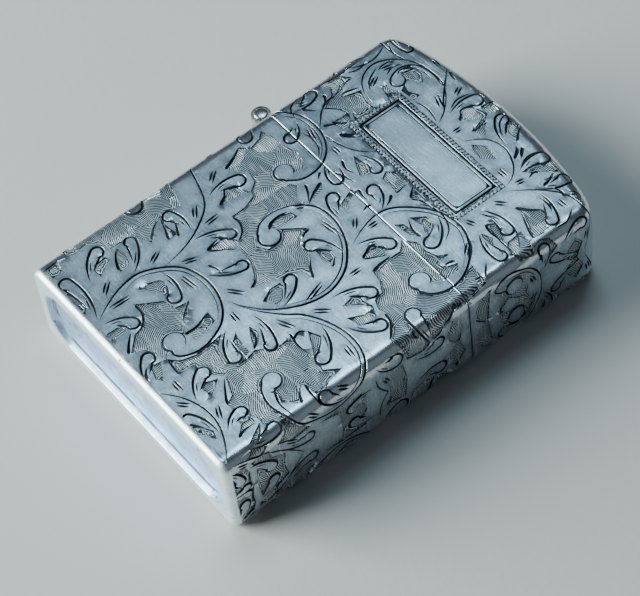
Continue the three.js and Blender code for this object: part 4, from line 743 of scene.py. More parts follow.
for wedge in (
    (0.55, -16.3, 9.8, -15.6, 10.3, -14.8, 11), (0.5, -12.5, 10, -12, 10.8, -11.6, 11.7),
    (0.55, -10.2, 10.6, -9.5, 11.2, -8.7, 11.9), (0.5, 6.1, 25.6, 6.8, 25, 7.5, 24.3),
    (0.5, -16.4, 13.2, -15.6, 12.9, -14.6, 12), (0.5, 1.2, 9.6, 1.8, 8.9, 2.2, 8),
    (0.5, 10.2, 24.6, 10, 23.9, 10.3, 23), (0.5, -8.9, 26.9, -8, 26.5, -7, 26.4),
    (0.5, 15.2, 24.3, 14.3, 24.5, 13.4, 24.2), (0.5, -4.3, -4.4, -5, -3.6, -5.2, -2.2, -4.9, -0.9),
    (0.42, -8.9, -6.4, -7.5, -6.3, -6.2, -7, -5.4, -8.2), (0.42, 14.1, -1.9, 15.6, -2.2, 17.4, -3.8),
    (0.42, -1.3, -0.8, -1.1, -1.6, -0.6, -2.4), (0.4, 8.6, 0.7, 8.3, 2.2, 8.2, 4.2),
    (0.45, 8.6, 8.2, 7, 8.1, 5.2, 8.8), (0.5, -5.9, 4.6, -5, 2.6, -4.2, 1.4),
    (0.45, -6.9, 3, -5.6, 2.4, -4.5, 1.6), (0.4, -7.2, 5.5, -6.8, 5, -6.3, 4.5),
    (0.42, -10.7, -12.9, -12.6, -12, -13.2, -12.1), (0.5, -11.2, -6.5, -11.9, -5.3, -13, -4.6),
    (0.45, -15.1, -2.8, -15.9, -0.9, -16.7, 0.6), (0.42, 3.6, -11.3, 3, -10.2, 2.5, -9.5),
    (0.45, 1, -11.2, 0.7, -10.4, 0, -10), (0.42, -6.8, -11.7, -7.2, -10.4, -7.3, -9.2),
    (0.42, -6.7, -11.6, -5.6, -10.1, -4.6, -8.9), (0.45, -5.1, -12.9, -4, -12.4, -3, -12.3),
    (0.45, -12.6, -15.6, -14, -14.2, -14.5, -13.2), (0.42, -11.1, -14.1, -12.6, -13.5, -14.3, -13),
    (0.45, -11.4, -21.1, -12.9, -20.5, -14.3, -19.6),
    (0.45, -6.3, -22.6, -4.5, -22.7, -3.1, -23.8, -2.6, -25.1), (0.42, 1.1, -20.9, 1.1, -19, 0.3, -17),
    (0.5, -0.9, -27.3, -2.1, -26.4, -3.3, -25.3), (0.5, 3.9, -27.9, 2.9, -27.6, 1.9, -26.8),
    (0.42, 5.3, -24.5, 3.9, -24.5, 2.4, -24.3), (0.42, 12.2, -23, 10.6, -22.1, 8.8, -20.9),
    (0.45, 16.6, -24.7, 16, -23.5, 16.2, -22), (0.42, 18.2, -23.2, 17.4, -22.4, 16.4, -21.7),
    (0.45, 8.1, -16.1, 7, -15, 5.2, -14.6), (0.42, 10, -11.9, 9.6, -10.8, 10.2, -10),
    (0.42, 9, -11.7, 10.9, -12, 12.9, -11.8), (0.45, 17.6, -16.5, 16.4, -16, 15.4, -15.1),
    (0.4, 14.2, -17.9, 16.2, -18.5, 18.6, -18.2), (0.4, 15.6, -14.7, 17.2, -15, 19.4, -14.9),
    (0.42, 6.3, 1.1, 5.8, 2.2, 5.3, 3.4), (0.42, 6.4, 1.1, 7.2, 2.4, 7.9, 3.6),
    (0.42, 1.5, 10.1, 1.3, 11.2, 1.3, 12.1), (0.42, 3.3, 10.8, 4.4, 11.6, 5.8, 11.9),
    (0.42, 3.2, 10.8, 2.6, 11.5, 2, 12.1), (0.42, 0.3, 22.7, 0.3, 24, -0.1, 25.2),
    (0.42, -1.9, 22.6, -2.6, 23.4, -3.5, 23.8), (0.5, 5.1, 25.6, 4.2, 26.6, 3.5, 27.6),
    (0.42, 10.3, 24.2, 9.5, 23.6, 9, 23), (0.5, 12.3, 23.5, 12.1, 24.6, 11.6, 25.7),
    (0.5, 12.5, 18.9, 13.9, 20, 14.9, 21.2), (0.45, 17.4, 17.6, 15.6, 18.2, 13.4, 19.1),
    (0.42, 12, 14.8, 13.4, 14.5, 15.4, 14.6), (0.45, -14.7, 11.7, -13.6, 12.9, -12, 13.6),
    (0.45, -12.2, 11.2, -11.2, 12.3, -10.6, 13.4), (0.42, -6.9, 8.5, -5.4, 8, -3.9, 8.5),
    (0.42, -2, 7.2, -0.9, 6.9, 0.2, 7), (0.42, 0.9, 6.9, 0.7, 6.3, 1, 5.4),
    (0.42, -12.5, 23.9, -13, 22.6, -12.6, 21.6), (0.5, 7, 23.6, 6.2, 24.6, 5.4, 25.2),
    (0.42, -15, 14.8, -14.6, 16, -14.2, 17.2), (0.42, -16.1, 17.3, -16, 16.2, -15.4, 15),
    (0.42, 19.8, 3.2, 18.9, 4.4, 18.6, 5.6), (0.45, 13.8, 8.9, 13.5, 8, 13.6, 7.2),
    (0.42, 4.8, -4.9, 3.2, -4.1, 1.8, -3.1), (0.4, -2.5, -17.5, -1.4, -19, -0.4, -19.9),
    (0.42, 5, -2.2, 4.3, -1.5, 3.8, -0.9), (0.42, 12.6, 8.9, 12.2, 8, 11.6, 7.4),
    (0.42, 17.6, 14.3, 18.6, 15.2, 19.1, 16.4),
):
    scrolls.wedge(*wedge)

corner_marks = [
    side * (FRONT_FLAT + CORNER_RUN * i / CORNER_STEPS) for side in (-1, 1) for i in range(CORNER_STEPS + 1)
]
corner_guides = [[Vector((u, y / 2)) for y in range(-58, 66, 3)] for u in corner_marks]


def layer_of(parts, kind, name):
    """The layer of that name on a mesh's faces or points, made if need be."""
    layers = getattr(parts.layers, kind)
    return layers.get(name) or layers.new(name)


def on_side(point, back):
    """A shell's point in metres, from millimetres off the middle plane; on the back half it is turned over."""
    x, y, z = point
    return Vector((x, y, HALF_DEPTH - z if back else HALF_DEPTH + z)) * MM


def half_shell(bm, work, domain, guides, place, back, seed):
    """Adds an engraved half of a shell to a bmesh, the front half or, turned over, the back half.
    place gives the point in millimetres for a distance round, a height and a lift off the surface."""
    points, marks, faces = engraved(work, domain, guides, seed)
    kind_layer = layer_of(bm.faces, "int", "kind")
    layers = [layer_of(bm.verts, "float", name) for name in ("shore", "deep", "rise")]
    made = []
    for point, (lift, *values) in zip(points, marks):
        vert = bm.verts.new(on_side(place(point.x, point.y, lift), back))
        for layer, value in zip(layers, values):
            vert[layer] = value
        made.append(vert)
    for corners, kind in faces:
        face = bm.faces.new([made[i] for i in (reversed(corners) if back else corners)])
        face[kind_layer] = kind
    for vert in made:
        if not vert.link_faces:
            bm.verts.remove(vert)


def extruded(bm, edges, moved):
    """Extrudes open edges and puts each new point where moved says. The new parts lie beyond the engraving, so
    they take none of its marks. Gives the new open edges."""
    made = bmesh.ops.extrude_edge_only(bm, edges=edges)["geom"]
    kind_layer, deep_layer = bm.faces.layers.int["kind"], bm.verts.layers.float["deep"]
    for part in made:
        if isinstance(part, bmesh.types.BMFace):
            part[kind_layer] = 0
        elif isinstance(part, bmesh.types.BMVert):
            part[deep_layer] = 0
            part.co = moved(part)
    return [g for g in made if isinstance(g, bmesh.types.BMEdge) and g.is_boundary]


def carried(bm, edges, place):
    """Extrudes open edges to where place says, from each point's distance round and its height."""
    u_layer, back_layer = bm.verts.layers.float["round"], bm.verts.layers.int["on_back"]
    return extruded(bm, edges, lambda v: on_side(place(v[u_layer], v.co.y / MM), v[back_layer]))


def ring_at(u, y, inset, corner):
    """A place at height y on a ring taken in by inset, with a corner radius of its own."""
    s = abs(u)
    flat_x, flat_z = HALF_WIDTH - inset - corner, HALF_DEPTH - inset - corner
    if s <= FRONT_FLAT:
        x, z = flat_x * s / FRONT_FLAT, flat_z + corner
    elif s <= FRONT_FLAT + CORNER_RUN:
        turn = (s - FRONT_FLAT) / CORNER
        x, z = flat_x + corner * sin(turn), flat_z + corner * cos(turn)
    else:
        x, z = flat_x + corner, flat_z * (SIDE_MIDDLE - s) / SIDE_FLAT
    return copysign(x, u), y, z


def straight_up(u, y, lift):
    """A place at height y on the shell's straight wall, lifted off its outside."""
    x, z = around(u, lift)
    return x, y, z


def unrolled(x, z):
    """The distance round for a point on the outside, from its x and its height off the middle plane."""
    s_x, s_z = abs(x), abs(z)
    if s_x <= FRONT_FLAT and s_z > SIDE_FLAT:
        s = s_x
    elif s_x > FRONT_FLAT and s_z > SIDE_FLAT:
        s = FRONT_FLAT + CORNER * atan2(s_x - FRONT_FLAT, s_z - SIDE_FLAT)
    else:
        s = SIDE_MIDDLE - s_z
    return copysign(s, x)


def remember_round(bm):
    """Keeps every point's distance round the shell, and whether it is on the back half, for later rings."""
    u_layer, back_layer = layer_of(bm.verts, "float", "round"), layer_of(bm.verts, "int", "on_back")
    for vert in bm.verts:
        z = vert.co.z / MM - HALF_DEPTH
        vert[u_layer], vert[back_layer] = unrolled(vert.co.x / MM, z), int(z < 0)


def rubbed(bm, at_end, dull_and_painted_light=lambda x, y, z: 0.0):
    """Marks how far each point's metal is rubbed bright, along the long edges and where at_end says, and
    how far it is dulled and pitted; that mark also places the base's painted reflection, painted highlight and
    painted shade. Both functions take an x, y and z."""
    worn_layer, dull_layer = layer_of(bm.verts, "float", "worn"), layer_of(bm.verts, "float", "dull_and_painted_light")
    for vert in bm.verts:
        x, y, z = vert.co.x / MM, vert.co.y / MM, vert.co.z / MM - HALF_DEPTH
        off_edge = abs(abs(unrolled(x, z)) - FRONT_FLAT - CORNER_RUN / 2)
        vert[worn_layer] = max(0.0, 1 - off_edge / 1.4, at_end(x, y, z))
        vert[dull_layer] = dull_and_painted_light(x, y, z)


def open_edges(bm, low=-99, high=99):
    """A mesh's open edges between two heights."""
    return [e for e in bm.edges if e.is_boundary and all(low < v.co.y / MM < high for v in e.verts)]


def fitted(made, body, node, slot):
    """Puts a piece on its body, in the place of its CAD node, which it hides. The slot is not used."""
    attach(made, body)
    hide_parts(node)


# The silver: the graver's cuts are blackened, the hatched ground is grey with painted shade along its edges,
# and the leaves are partly rubbed bright, with a painted highlight at their middles and painted shade at their
# edges. The long edges are rubbed bright, and there are fine scratches all over. The base end gets a painted
# bluish sky reflection, a painted highlight on its rim and a painted line of shade, with dirt, at the foot of
# its recess wall.

HATCH_PITCH = 0.232


def node_group(name, given, results):
    """An empty node group with its sockets by name and kind: the group, its node helper, and its two ends."""
    tree = bpy.data.node_groups.new(name, "ShaderNodeTree")
    for way, sockets in (("INPUT", given), ("OUTPUT", results)):
        for socket, kind in sockets.items():
            tree.interface.new_socket(socket, in_out=way, socket_type="NodeSocket" + kind)
    nodes = Nodes(tree)
    return tree, nodes, nodes.add("NodeGroupInput").outputs, nodes.add("NodeGroupOutput")


def fine_scratches():
    """A group: a mask of fine scratches in four directions, for object coordinates."""
    tree, nodes, given, result = node_group("fine_scratches", {"Vector": "Vector"}, {"Mask": "Float"})
    total = 0.0
    for turn, stretch, cut in ((0.5, 40, 0.69), (-0.9, 55, 0.70), (1.9, 30, 0.71), (1.2, 70, 0.68)):
        lines = nodes.noise(nodes.turned(given[0], (0.1, 0.2, turn), (1, stretch / 3, 1)), 240, 2, 0.6)
        total = nodes.math("MAXIMUM", total, nodes.between(lines, cut - 0.06, cut + 0.02))
    tuned(result, Mask=total)
    return tree


def liner_hatching():
    """A group: the ground's fine lines, in patches that each run their own way, and some round the leaves."""
    tree, nodes, given, result = node_group(
        "liner_hatching", {"Vector": "Vector", "Shore": "Float", "Pitch": "Float"},
        {"Lines": "Float", "Patch": "Float"})
    vector, shore, pitch = given[:3]
    patches = nodes.add("ShaderNodeTexVoronoi", Scale=380, Vector=vector).outputs
    chance = nodes.add("ShaderNodeSeparateColor", Color=patches["Color"]).outputs
    local = nodes.add("ShaderNodeVectorMath", operation="SUBTRACT")
    nodes.feed(local.inputs, (vector, patches["Position"]))
    x, y, z = nodes.axes(local.outputs[0])
    turn = nodes.times(chance[0], 2 * pi)
    far = nodes.math("MULTIPLY_ADD", chance[1], 4 * MM, 3 * MM)
    across = nodes.plus(nodes.plus(x, z), nodes.times(far, nodes.math("COSINE", turn)))
    along = nodes.plus(y, nodes.times(far, nodes.math("SINE", turn)))
    wobble = nodes.times(nodes.noise(vector, 420, 1), 0.0004)
    straight = nodes.plus(nodes.reach(across, along), wobble)
    near = nodes.times(nodes.math("LESS_THAN", shore, 0.42), nodes.math("GREATER_THAN", chance[1], 0.5))
    curved = nodes.plus(nodes.times(shore, MM), nodes.times(wobble, 0.35))
    row = nodes.plus(nodes.times(near, curved), nodes.times(nodes.less(1.0, near), straight))
    wave = nodes.math("SINE", nodes.math("DIVIDE", nodes.times(row, 2 * pi), pitch))
    tuned(result, Lines=nodes.between(wave, -0.3, 0.6), Patch=chance[2])
    return tree


scratches, hatching = fine_scratches(), liner_hatching()


def scratch_mask(nodes, vector):
    return nodes.add("ShaderNodeGroup", node_tree=scratches, Vector=vector).outputs[0]


silver, nodes, place, shader = material("engraved_silver")
kind, shore, deep, rise, worn, dull_and_painted_light = (
    nodes.add("ShaderNodeAttribute", attribute_name=name).outputs["Fac"]
    for name in ("kind", "shore", "deep", "rise", "worn", "dull_and_painted_light")
)
is_ground = nodes.math("GREATER_THAN", kind, 1.5)
hatch = nodes.add(
    "ShaderNodeGroup", node_tree=hatching, Vector=place, Shore=shore, Pitch=HATCH_PITCH * MM).outputs
tarnish, clouds = nodes.noise(place, 160, 4, 0.6), nodes.noise(place, 75, 3, 0.55)
grime, specks = nodes.noise(place, 420, 4, 0.65), nodes.noise(place, 3000, 3, 0.7)
raised = nodes.mix(nodes.between(clouds, 0.36, 0.66), (0.50, 0.57, 0.63), (0.66, 0.73, 0.80))
raised = nodes.tinted(raised, grime, 0.52, 0.75, 0.5, (0.24, 0.30, 0.34))
raised = nodes.tinted(raised, specks, 0.42, 0.66, 0.5, (0.2, 0.25, 0.29))
nicks = nodes.between(nodes.noise(place, 1500), 0.68, 0.71)
dings = nodes.math("MAXIMUM", nicks, nodes.between(specks, 0.36, 0.3))
raised = nodes.mix(nodes.times(dings, 0.75), raised, (1.0, 1.0, 1.0))
# Painted shade, with some tarnish, darkens each leaf towards its cut edges, on top of random dirt, and a
# painted highlight, partly rubbed wear, brightens its middle.
painted_edge_shade = nodes.between(rise, 0.0, 0.4, 0.2, 0.0)
dirt_and_painted_shade = nodes.math("ADD", nodes.between(grime, 0.3, 0.7, -0.15, 0.15), painted_edge_shade, clamp=True)
raised = nodes.mix(dirt_and_painted_shade, raised, (0.16, 0.2, 0.23))
raised = nodes.tinted(raised, rise, 0.3, 0.95, 0.4, (0.84, 0.90, 0.97))
raised = nodes.mix(nodes.times(worn, 0.85), raised, (0.86, 0.92, 0.95))
hatched = nodes.mix(hatch["Lines"], (0.02, 0.03, 0.035), (0.84, 0.92, 0.96))
hatched = nodes.tinted(hatched, hatch["Patch"], 0.0, 1.0, 0.35, (0.08, 0.11, 0.13))
# Painted shade darkens the ground along its edges, beside the leaves.
hatched = nodes.mix(nodes.between(shore, 0.0, 0.30, 0.6, 0.0), hatched, (0.05, 0.065, 0.08))
blackened = nodes.times(nodes.between(deep, 0.05, 0.17), nodes.between(tarnish, 0.3, 0.55, 0.85, 1.0))
colour = nodes.mix(blackened, nodes.mix(is_ground, raised, hatched), (0.02, 0.03, 0.042))
pits = nodes.between(nodes.noise(place, 1300, 3, 0.6), 0.60, 0.68)
pits = nodes.times(pits, nodes.between(nodes.noise(place, 260), 0.42, 0.56))
# The base end's colour is its silver with a painted bluish sky reflection, and the rim's is a painted
# highlight over its worn polish.
base = nodes.mix(nodes.between(clouds, 0.3, 0.7), (0.42, 0.58, 0.80), (0.58, 0.78, 0.98))
base = nodes.tinted(base, grime, 0.4, 0.7, 0.35, (0.26, 0.34, 0.44))
polished_rim_and_highlight = nodes.tinted((0.88, 1.0, 1.0), grime, 0.45, 0.75, 0.4, (0.46, 0.62, 0.76))
base = nodes.mix(nodes.between(dull_and_painted_light, 0.55, 0.95), polished_rim_and_highlight, base)
base = nodes.mix(nodes.times(pits, 0.85), base, (0.06, 0.075, 0.11))
# A painted line of shade, with dirt, darkens the foot of the recess wall.
base = nodes.tinted(base, dull_and_painted_light, 1.05, 1.45, 0.85, (0.05, 0.06, 0.08))
uneven = nodes.plus(dull_and_painted_light, nodes.between(nodes.noise(place, 700, 3, 0.6), 0.3, 0.7, -0.25, 0.2))
at_base = nodes.times(nodes.between(uneven, 0.1, 0.4), nodes.math("GREATER_THAN", dull_and_painted_light, 0.001))
marks = nodes.times(scratch_mask(nodes, place), nodes.less(1.0, blackened))
colour = nodes.mix(nodes.times(marks, 0.6), nodes.mix(at_base, colour, base), (0.95, 0.98, 1.0))
rough = nodes.plus(nodes.between(clouds, 0.3, 0.7, 0.28, 0.34), nodes.times(is_ground, 0.16))
rough = nodes.less(rough, nodes.times(worn, 0.08))
rough = nodes.math("MAXIMUM", rough, nodes.times(blackened, 0.85))
base_rough = nodes.times(nodes.between(dull_and_painted_light, 0.0, 0.5), nodes.between(grime, 0.3, 0.7, 0.34, 0.5))
ground_bump = nodes.bump(nodes.times(hatch["Lines"], is_ground), 0.8, 0.00006)
dents = nodes.bump(nodes.noise(place, 110), 0.5, 0.0003, Normal=ground_bump)
tuned(
    shader, Base_Color=colour, Metallic=nodes.between(dull_and_painted_light, 0, 0.5, 1.0, 0.8),
    Roughness=nodes.math("MAXIMUM", rough, base_rough),
    Normal=nodes.bump(nodes.less(nodes.noise(place, 900, 3, 0.6), marks), 0.3, 0.00003, Normal=dents),
)

BASE_EDGE, RECESS_MOUTH, RECESS_CORNER, RECESS_DEPTH = 0.85, 1.9, 3.9, 0.9
EDGE_BREAK = 0.06
FLOOR_Y = BASE_Y + RECESS_DEPTH + WALL
rim_y = SEAM_Y - SEAM_HALF_GAP
body_foot = BASE_Y + BASE_EDGE
window_side = -SIDE_MIDDLE + WINDOW_HALF
body_domain = points_of((
    -SIDE_MIDDLE, body_foot, SIDE_MIDDLE, body_foot, SIDE_MIDDLE, rim_y - EDGE_BREAK, window_side,
    rim_y - EDGE_BREAK, window_side, SEAM_Y - WINDOW_REACH, -SIDE_MIDDLE, SEAM_Y - WINDOW_REACH,
))


def foot_ring(angle):
    """The inset, corner radius and height at an angle of the rounded edge round the base."""
    inset = BASE_EDGE * (1 - sin(radians(angle)))
    return inset, max(CORNER - inset, 0.45), BASE_Y + BASE_EDGE * (1 - cos(radians(angle)))


def dulled(x, y, z):
    """Half dulled on the rim that the lighter stands on, which gets a painted highlight, fully in the recess,
    and marked at its wall's foot for a painted black line of shade and dirt.
    """
    off_wall = max(abs(x) - HALF_WIDTH, abs(z) - HALF_DEPTH)
    if BASE_Y + 0.02 < y < FLOOR_Y - 0.2 and off_wall < 0.02 - RECESS_MOUTH:
        return 1.5 if y > BASE_Y + 0.7 and off_wall > -2.6 else 1.0
    return 0.55 * min(1.0, max(0.0, (body_foot + 0.1 - y) / 0.3))


bm = bmesh.new()
for back in (False, True):
    half_shell(bm, scrolls.part(body_foot, rim_y), body_domain, corner_guides, straight_up, back, seed=3)
bmesh.ops.remove_doubles(bm, verts=bm.verts, dist=1e-6)
remember_round(bm)
foot = open_edges(bm, BASE_Y, body_foot + 0.01)
rim = [e for e in bm.edges if e.is_boundary and e not in set(foot)]
for inset, corner, height in (
    *map(foot_ring, (72, 54, 36, 18, 0)),
    (1.7, RECESS_CORNER - 0.4, BASE_Y), (1.85, RECESS_CORNER - 0.1, BASE_Y + 0.03),
    (1.93, RECESS_CORNER, BASE_Y + 0.12), (2.1, RECESS_CORNER, BASE_Y + 0.6),
    (2.2, RECESS_CORNER, BASE_Y + 0.8), (2.36, RECESS_CORNER - 0.1, BASE_Y + 0.88),
    (2.7, RECESS_CORNER - 0.3, BASE_Y + RECESS_DEPTH),
):
    foot = carried(bm, foot, lambda u, y: ring_at(u, height, inset, corner))
bmesh.ops.edgeloop_fill(bm, edges=foot)
rim = carried(bm, rim, lambda u, y: straight_up(
    u, y + EDGE_BREAK if y > rim_y - 2 * EDGE_BREAK else y, -EDGE_BREAK))
rim = carried(bm, rim, lambda u, y: straight_up(u, y, -WALL))
rim = carried(bm, rim, lambda u, y: straight_up(u, FLOOR_Y, -WALL))
bmesh.ops.remove_doubles(bm, verts=bm.verts, dist=1e-6)
bmesh.ops.dissolve_degenerate(bm, edges=bm.edges, dist=1e-7)
bmesh.ops.edgeloop_fill(bm, edges=open_edges(bm, FLOOR_Y - 0.01, FLOOR_Y + 0.01))
bmesh.ops.recalc_face_normals(bm, faces=bm.faces)
rubbed(bm, lambda x, y, z: min(1.0, max(0.0, (body_foot + 0.3 - y) / 0.5)), dulled)
fitted(finished(bm, "engraved_case_body", silver, 28), "case", "case_body", "silver")


# lid
# The upper shell: a shorter cup with a crowned top, engraved to match. On its front a bare panel lies in a
# frame of two cut lines and a roped border; on its back the scrolls go on in its place.

CROWN_ACROSS, CROWN_THROUGH, LID_EDGE = 2.5, 0.3, 1.6
CORNER_REACH, CORNER_DROP = 4.0, 0.8
EDGE_RUN = LID_EDGE * pi / 2


def crown_at(x, z):
    """The crown's height: a shallow dome that falls away faster towards the lid's corners."""
    beyond = max(0.0, abs(x) - HALF_WIDTH + CORNER_REACH) / CORNER_REACH
    dome = CROWN_ACROSS * (x / HALF_WIDTH) ** 2 + CROWN_THROUGH * (z / HALF_DEPTH) ** 2
    return CROWN_Y - dome - CORNER_DROP * beyond ** 2


def over_crown(u, y, lift):
    """As straight_up, but above the wall's top the surface turns in over the lid's rounded edge."""
    wall_top = crown_at(*around(u)) - LID_EDGE
    if y <= wall_top:
        return straight_up(u, y, lift)
    turn = min((y - wall_top) / LID_EDGE, pi / 2)
    x, z = around(u, lift * cos(turn) - LID_EDGE * (1 - cos(turn)))
    return x, crown_at(x, z) - LID_EDGE + (LID_EDGE + lift) * sin(turn), z


def along_edge(share):
    """A line across the unrolled lid, that share of the way over its rounded edge."""
    marks = sorted({
        *corner_marks,
        *(i * 0.95 * side for i in range(19) for side in (-1, 1)),
        *(side * (SIDE_MIDDLE - i) for i in range(5) for side in (-1, 1)),
    })
    return [Vector((u, crown_at(*around(u)) - LID_EDGE + EDGE_RUN * share)) for u in marks]


PANEL = (-10.3, 12.5, 9.4, 20.2)
BEAD, BEAD_LONG, BEAD_WIDE = 0.57, 0.27, 0.19
panel_frame = Engraving()


def frame_corners(inset):
    left, low, right, high = PANEL[0] + inset, PANEL[1] + inset, PANEL[2] - inset, PANEL[3] - inset
    return [Vector(p) for p in ((left, low), (right, low), (right, high), (left, high))]


def frame_line(inset, width):
    """A cut all round, with square corners; its ends lie over each other."""
    corners = frame_corners(inset)
    line = [corners[0].lerp(corners[1], 0.4)]
    for corner in [*corners[1:], corners[0], corners[0].lerp(corners[1], 0.5)]:
        line += flowing([line[-1], corner], 0.8)[1:]
    at_corner = lambda p: min((p - c).length for c in corners) < 1e-4
    panel_frame.cuts.append((line, [width / 2 * (sqrt(2) if at_corner(p) else 1.0) for p in line]))


frame_line(0.86, 0.36)
frame_line(1.34, 0.17)
panel_frame.grounds.append(frame_corners(-0.04))
panel_frame.tips.append(frame_corners(0.6))
rope = frame_corners(0.28)
for a, b in zip(rope, [*rope[1:], rope[0]]):
    way = (b - a).normalized()
    count = round((b - a).length / BEAD)
    slant = way.orthogonal() * 0.8 + way * 0.45
    for i in range(count):
        middle = a.lerp(b, i / count)
        panel_frame.tips.append([
            middle + slant * BEAD_LONG * cos(k * pi / 4) + way * BEAD_WIDE * sin(k * pi / 4) for k in range(8)
        ])

back_field = Engraving()
for hook in (
    (0.28, -1, 16.4, 1.1, 285, -10.4, 14.4, -7.4, 13.2, -3.5, 12.8, 0.4, 13.2, 3, 14.8, 3.5, 17.2, 2, 19.2,
     -0.6, 19.7, -2.6, 18.4, -2.2, 16.7),
    (0.26, 7, 17, 0.95, 270, 2.2, 13.6, 5, 12.9, 7.8, 13.8, 9.3, 16, 8.9, 18.4, 7.2, 19.2, 6, 18.2, 6.1,
     17.3),
):
    back_field.hook(*hook)
for leaf in (
    (-9.6, 15.2, -6, 18.8, 0.85, 1), (-10, 19.8, -9.4, 17, 0.7, -1), (-3.2, 13.2, -4.6, 16.2, 0.75, -1),
    (4.2, 14.4, 4.9, 20.2, 0.7, 1), (9.6, 14.2, 9.9, 11.2, 0.6, -1),
):
    back_field.leaf(*leaf)
for ground in (
    (-9, 17.6, -7.4, 20.2, -4.6, 20, -3.4, 18.4, -4, 16.4, -6.2, 15, -8.4, 15.4),
    (-2.9, 16, -1.2, 14.4, 1.2, 14.6, 2.2, 16.8, 0.6, 18.4, -0.2, 17),
    (4.6, 15.4, 6.6, 14.8, 8, 16, 7.4, 17.8, 5.4, 16.8, 4.8, 18.6, 4, 17),
):
    back_field.ground(*ground)
for dashes in (
    (-6.6, 14.2, -12, 2.2), (0.8, 13.9, 18, 1.8), (2.8, 18.6, -58, 1.6), (8.6, 15, 60, 1.6),
    (-8.6, 19.4, 60, 1.4), (-1.6, 20.6, 0, 2),
):
    back_field.dashes(*dashes)

lid_foot = SEAM_Y + SEAM_HALF_GAP
lid_domain = [
    *points_of((
        -SIDE_MIDDLE, SEAM_Y + WINDOW_REACH, window_side, SEAM_Y + WINDOW_REACH, window_side,
        lid_foot + EDGE_BREAK, SIDE_MIDDLE, lid_foot + EDGE_BREAK,
    )),
    *reversed(along_edge(1.0)),
]
lid_guides = [*corner_guides, *(along_edge(i / 5) for i in range(5))]
lid_design = scrolls.part(lid_foot, CROWN_Y + 2)


def shrunk(bm, edges, share, drop=0.0):
    """Extrudes a loop towards the middle of the crown, and lays it on the crown less a drop."""
    def moved(vert):
        x, z = vert.co.x / MM * share, (vert.co.z / MM - HALF_DEPTH) * share
        return on_side((x, crown_at(x, z) - drop, z), False)

    return extruded(bm, edges, moved)


def under_crown(turn):
    """Places on the lid's inner face, at an angle of the rounded edge between its wall and its crown."""
    radius = LID_EDGE - WALL
    draw, rise = radius * (1 - cos(radians(turn))), sin(radians(turn))

    def place(u, y):
        x, z = around(u, -WALL - draw)
        return x, crown_at(x, z) - WALL - radius + radius * rise, z

    return place


bm = bmesh.new()
for back, field in ((False, panel_frame), (True, back_field)):
    half_shell(bm, lid_design.joined(field), lid_domain, lid_guides, over_crown, back, seed=5)
bmesh.ops.remove_doubles(bm, verts=bm.verts, dist=1e-6)
remember_round(bm)
rim = open_edges(bm, lid_foot - 0.2, SEAM_Y + WINDOW_REACH + 0.01)
crest = [e for e in bm.edges if e.is_boundary and e not in set(rim)]
for share in (0.93, 0.85, 0.75, 0.6, 0.4):
    crest = shrunk(bm, crest, share)
bmesh.ops.edgeloop_fill(bm, edges=crest)
rim = carried(bm, rim, lambda u, y: straight_up(
    u, y - EDGE_BREAK if y < lid_foot + 2 * EDGE_BREAK else y, -EDGE_BREAK))
rim = carried(bm, rim, lambda u, y: straight_up(u, y, -WALL))
for turn in (0, 30, 60, 90):
    carried(bm, rim, under_crown(turn))
    bmesh.ops.remove_doubles(bm, verts=bm.verts, dist=1e-6)
    rim = open_edges(bm)
for share in (0.8, 0.5, 0.25):
    rim = shrunk(bm, rim, share, WALL)
bmesh.ops.edgeloop_fill(bm, edges=rim)
bmesh.ops.dissolve_degenerate(bm, edges=bm.edges, dist=1e-7)
bmesh.ops.recalc_face_normals(bm, faces=bm.faces)
rubbed(bm, lambda x, y, z: 0.75 * max(0.0, 1 - abs(y - crown_at(x, z) + LID_EDGE * 0.35) / 1.3))
fitted(finished(bm, "engraved_lid", silver, 28), "lid", "lid", "silver")


# hinge
# Two stamped leaves soldered inside the shells. Their strips come out through the side and curl round one pin,
# two knuckles on the body and one between them on the lid, whose end runs on as the tail that the cam presses.
# Satin metal, a little yellow, with dirt held in the curls.

HINGE_X, BARREL, BORE = -20.35, 1.25, 0.61
LEAF_OUT, LEAF_IN, LEAF_HALF, LEAF_REACH, LEAF_NEAR = -18.3, -17.85, 4.7, 5.2, 1.6
BAY_HALF, BAY_Y = 2.0, 4.74
OUTER_KNUCKLE, OUTER_HALF, MIDDLE_HALF = 3.35, 1.35, 1.9
TAIL_TIP = Vector((-17.4, 5.44))


def worked_metal(name, light, dark, roughness, grain=(1, 1, 1), grain_scale=2600, marked=0.35):
    """A bare metal with grain, faint tarnish and fine scratches. Gives its colour, for more to be added."""
    made, nodes, place, shader = material(name)
    lines = nodes.noise(nodes.turned(place, scale=grain), grain_scale, 3, 0.6)
    clouds = nodes.noise(place, 240, 4, 0.6)
    marks = scratch_mask(nodes, place)
    colour = nodes.mix(nodes.between(clouds, 0.36, 0.68), light, dark)
    colour = nodes.tinted(colour, lines, 0.45, 0.62, 0.3, dark)
    colour = nodes.mix(nodes.times(marks, marked), colour, (0.92, 0.93, 0.94))
    rough = nodes.between(clouds, 0.3, 0.7, roughness - 0.06, roughness + 0.06)
    fine = nodes.less(nodes.noise(place, 700), marks)
    tuned(
        shader, Base_Color=colour, Metallic=1.0, Roughness=nodes.plus(rough, nodes.times(lines, 0.08)),
        Normal=nodes.bump(fine, 0.25, 0.00004, Normal=nodes.bump(lines, 0.35, 0.00003)),
    )
    return made, nodes, place, shader, colour


def eased(bm, width, angle=40, segments=2, chosen=lambda edge: True):
    """Rounds the sharp edges a little, as worked metal's are."""
    bmesh.ops.recalc_face_normals(bm, faces=bm.faces)
    sharp = [
        e for e in bm.edges if len(e.link_faces) == 2 and e.calc_face_angle(0) > radians(angle) and chosen(e)
    ]
    bmesh.ops.bevel(bm, geom=sharp, offset=width * MM, offset_type="OFFSET", segments=segments, profile=0.5,
                    affect="EDGES", clamp_overlap=True, material=-1)


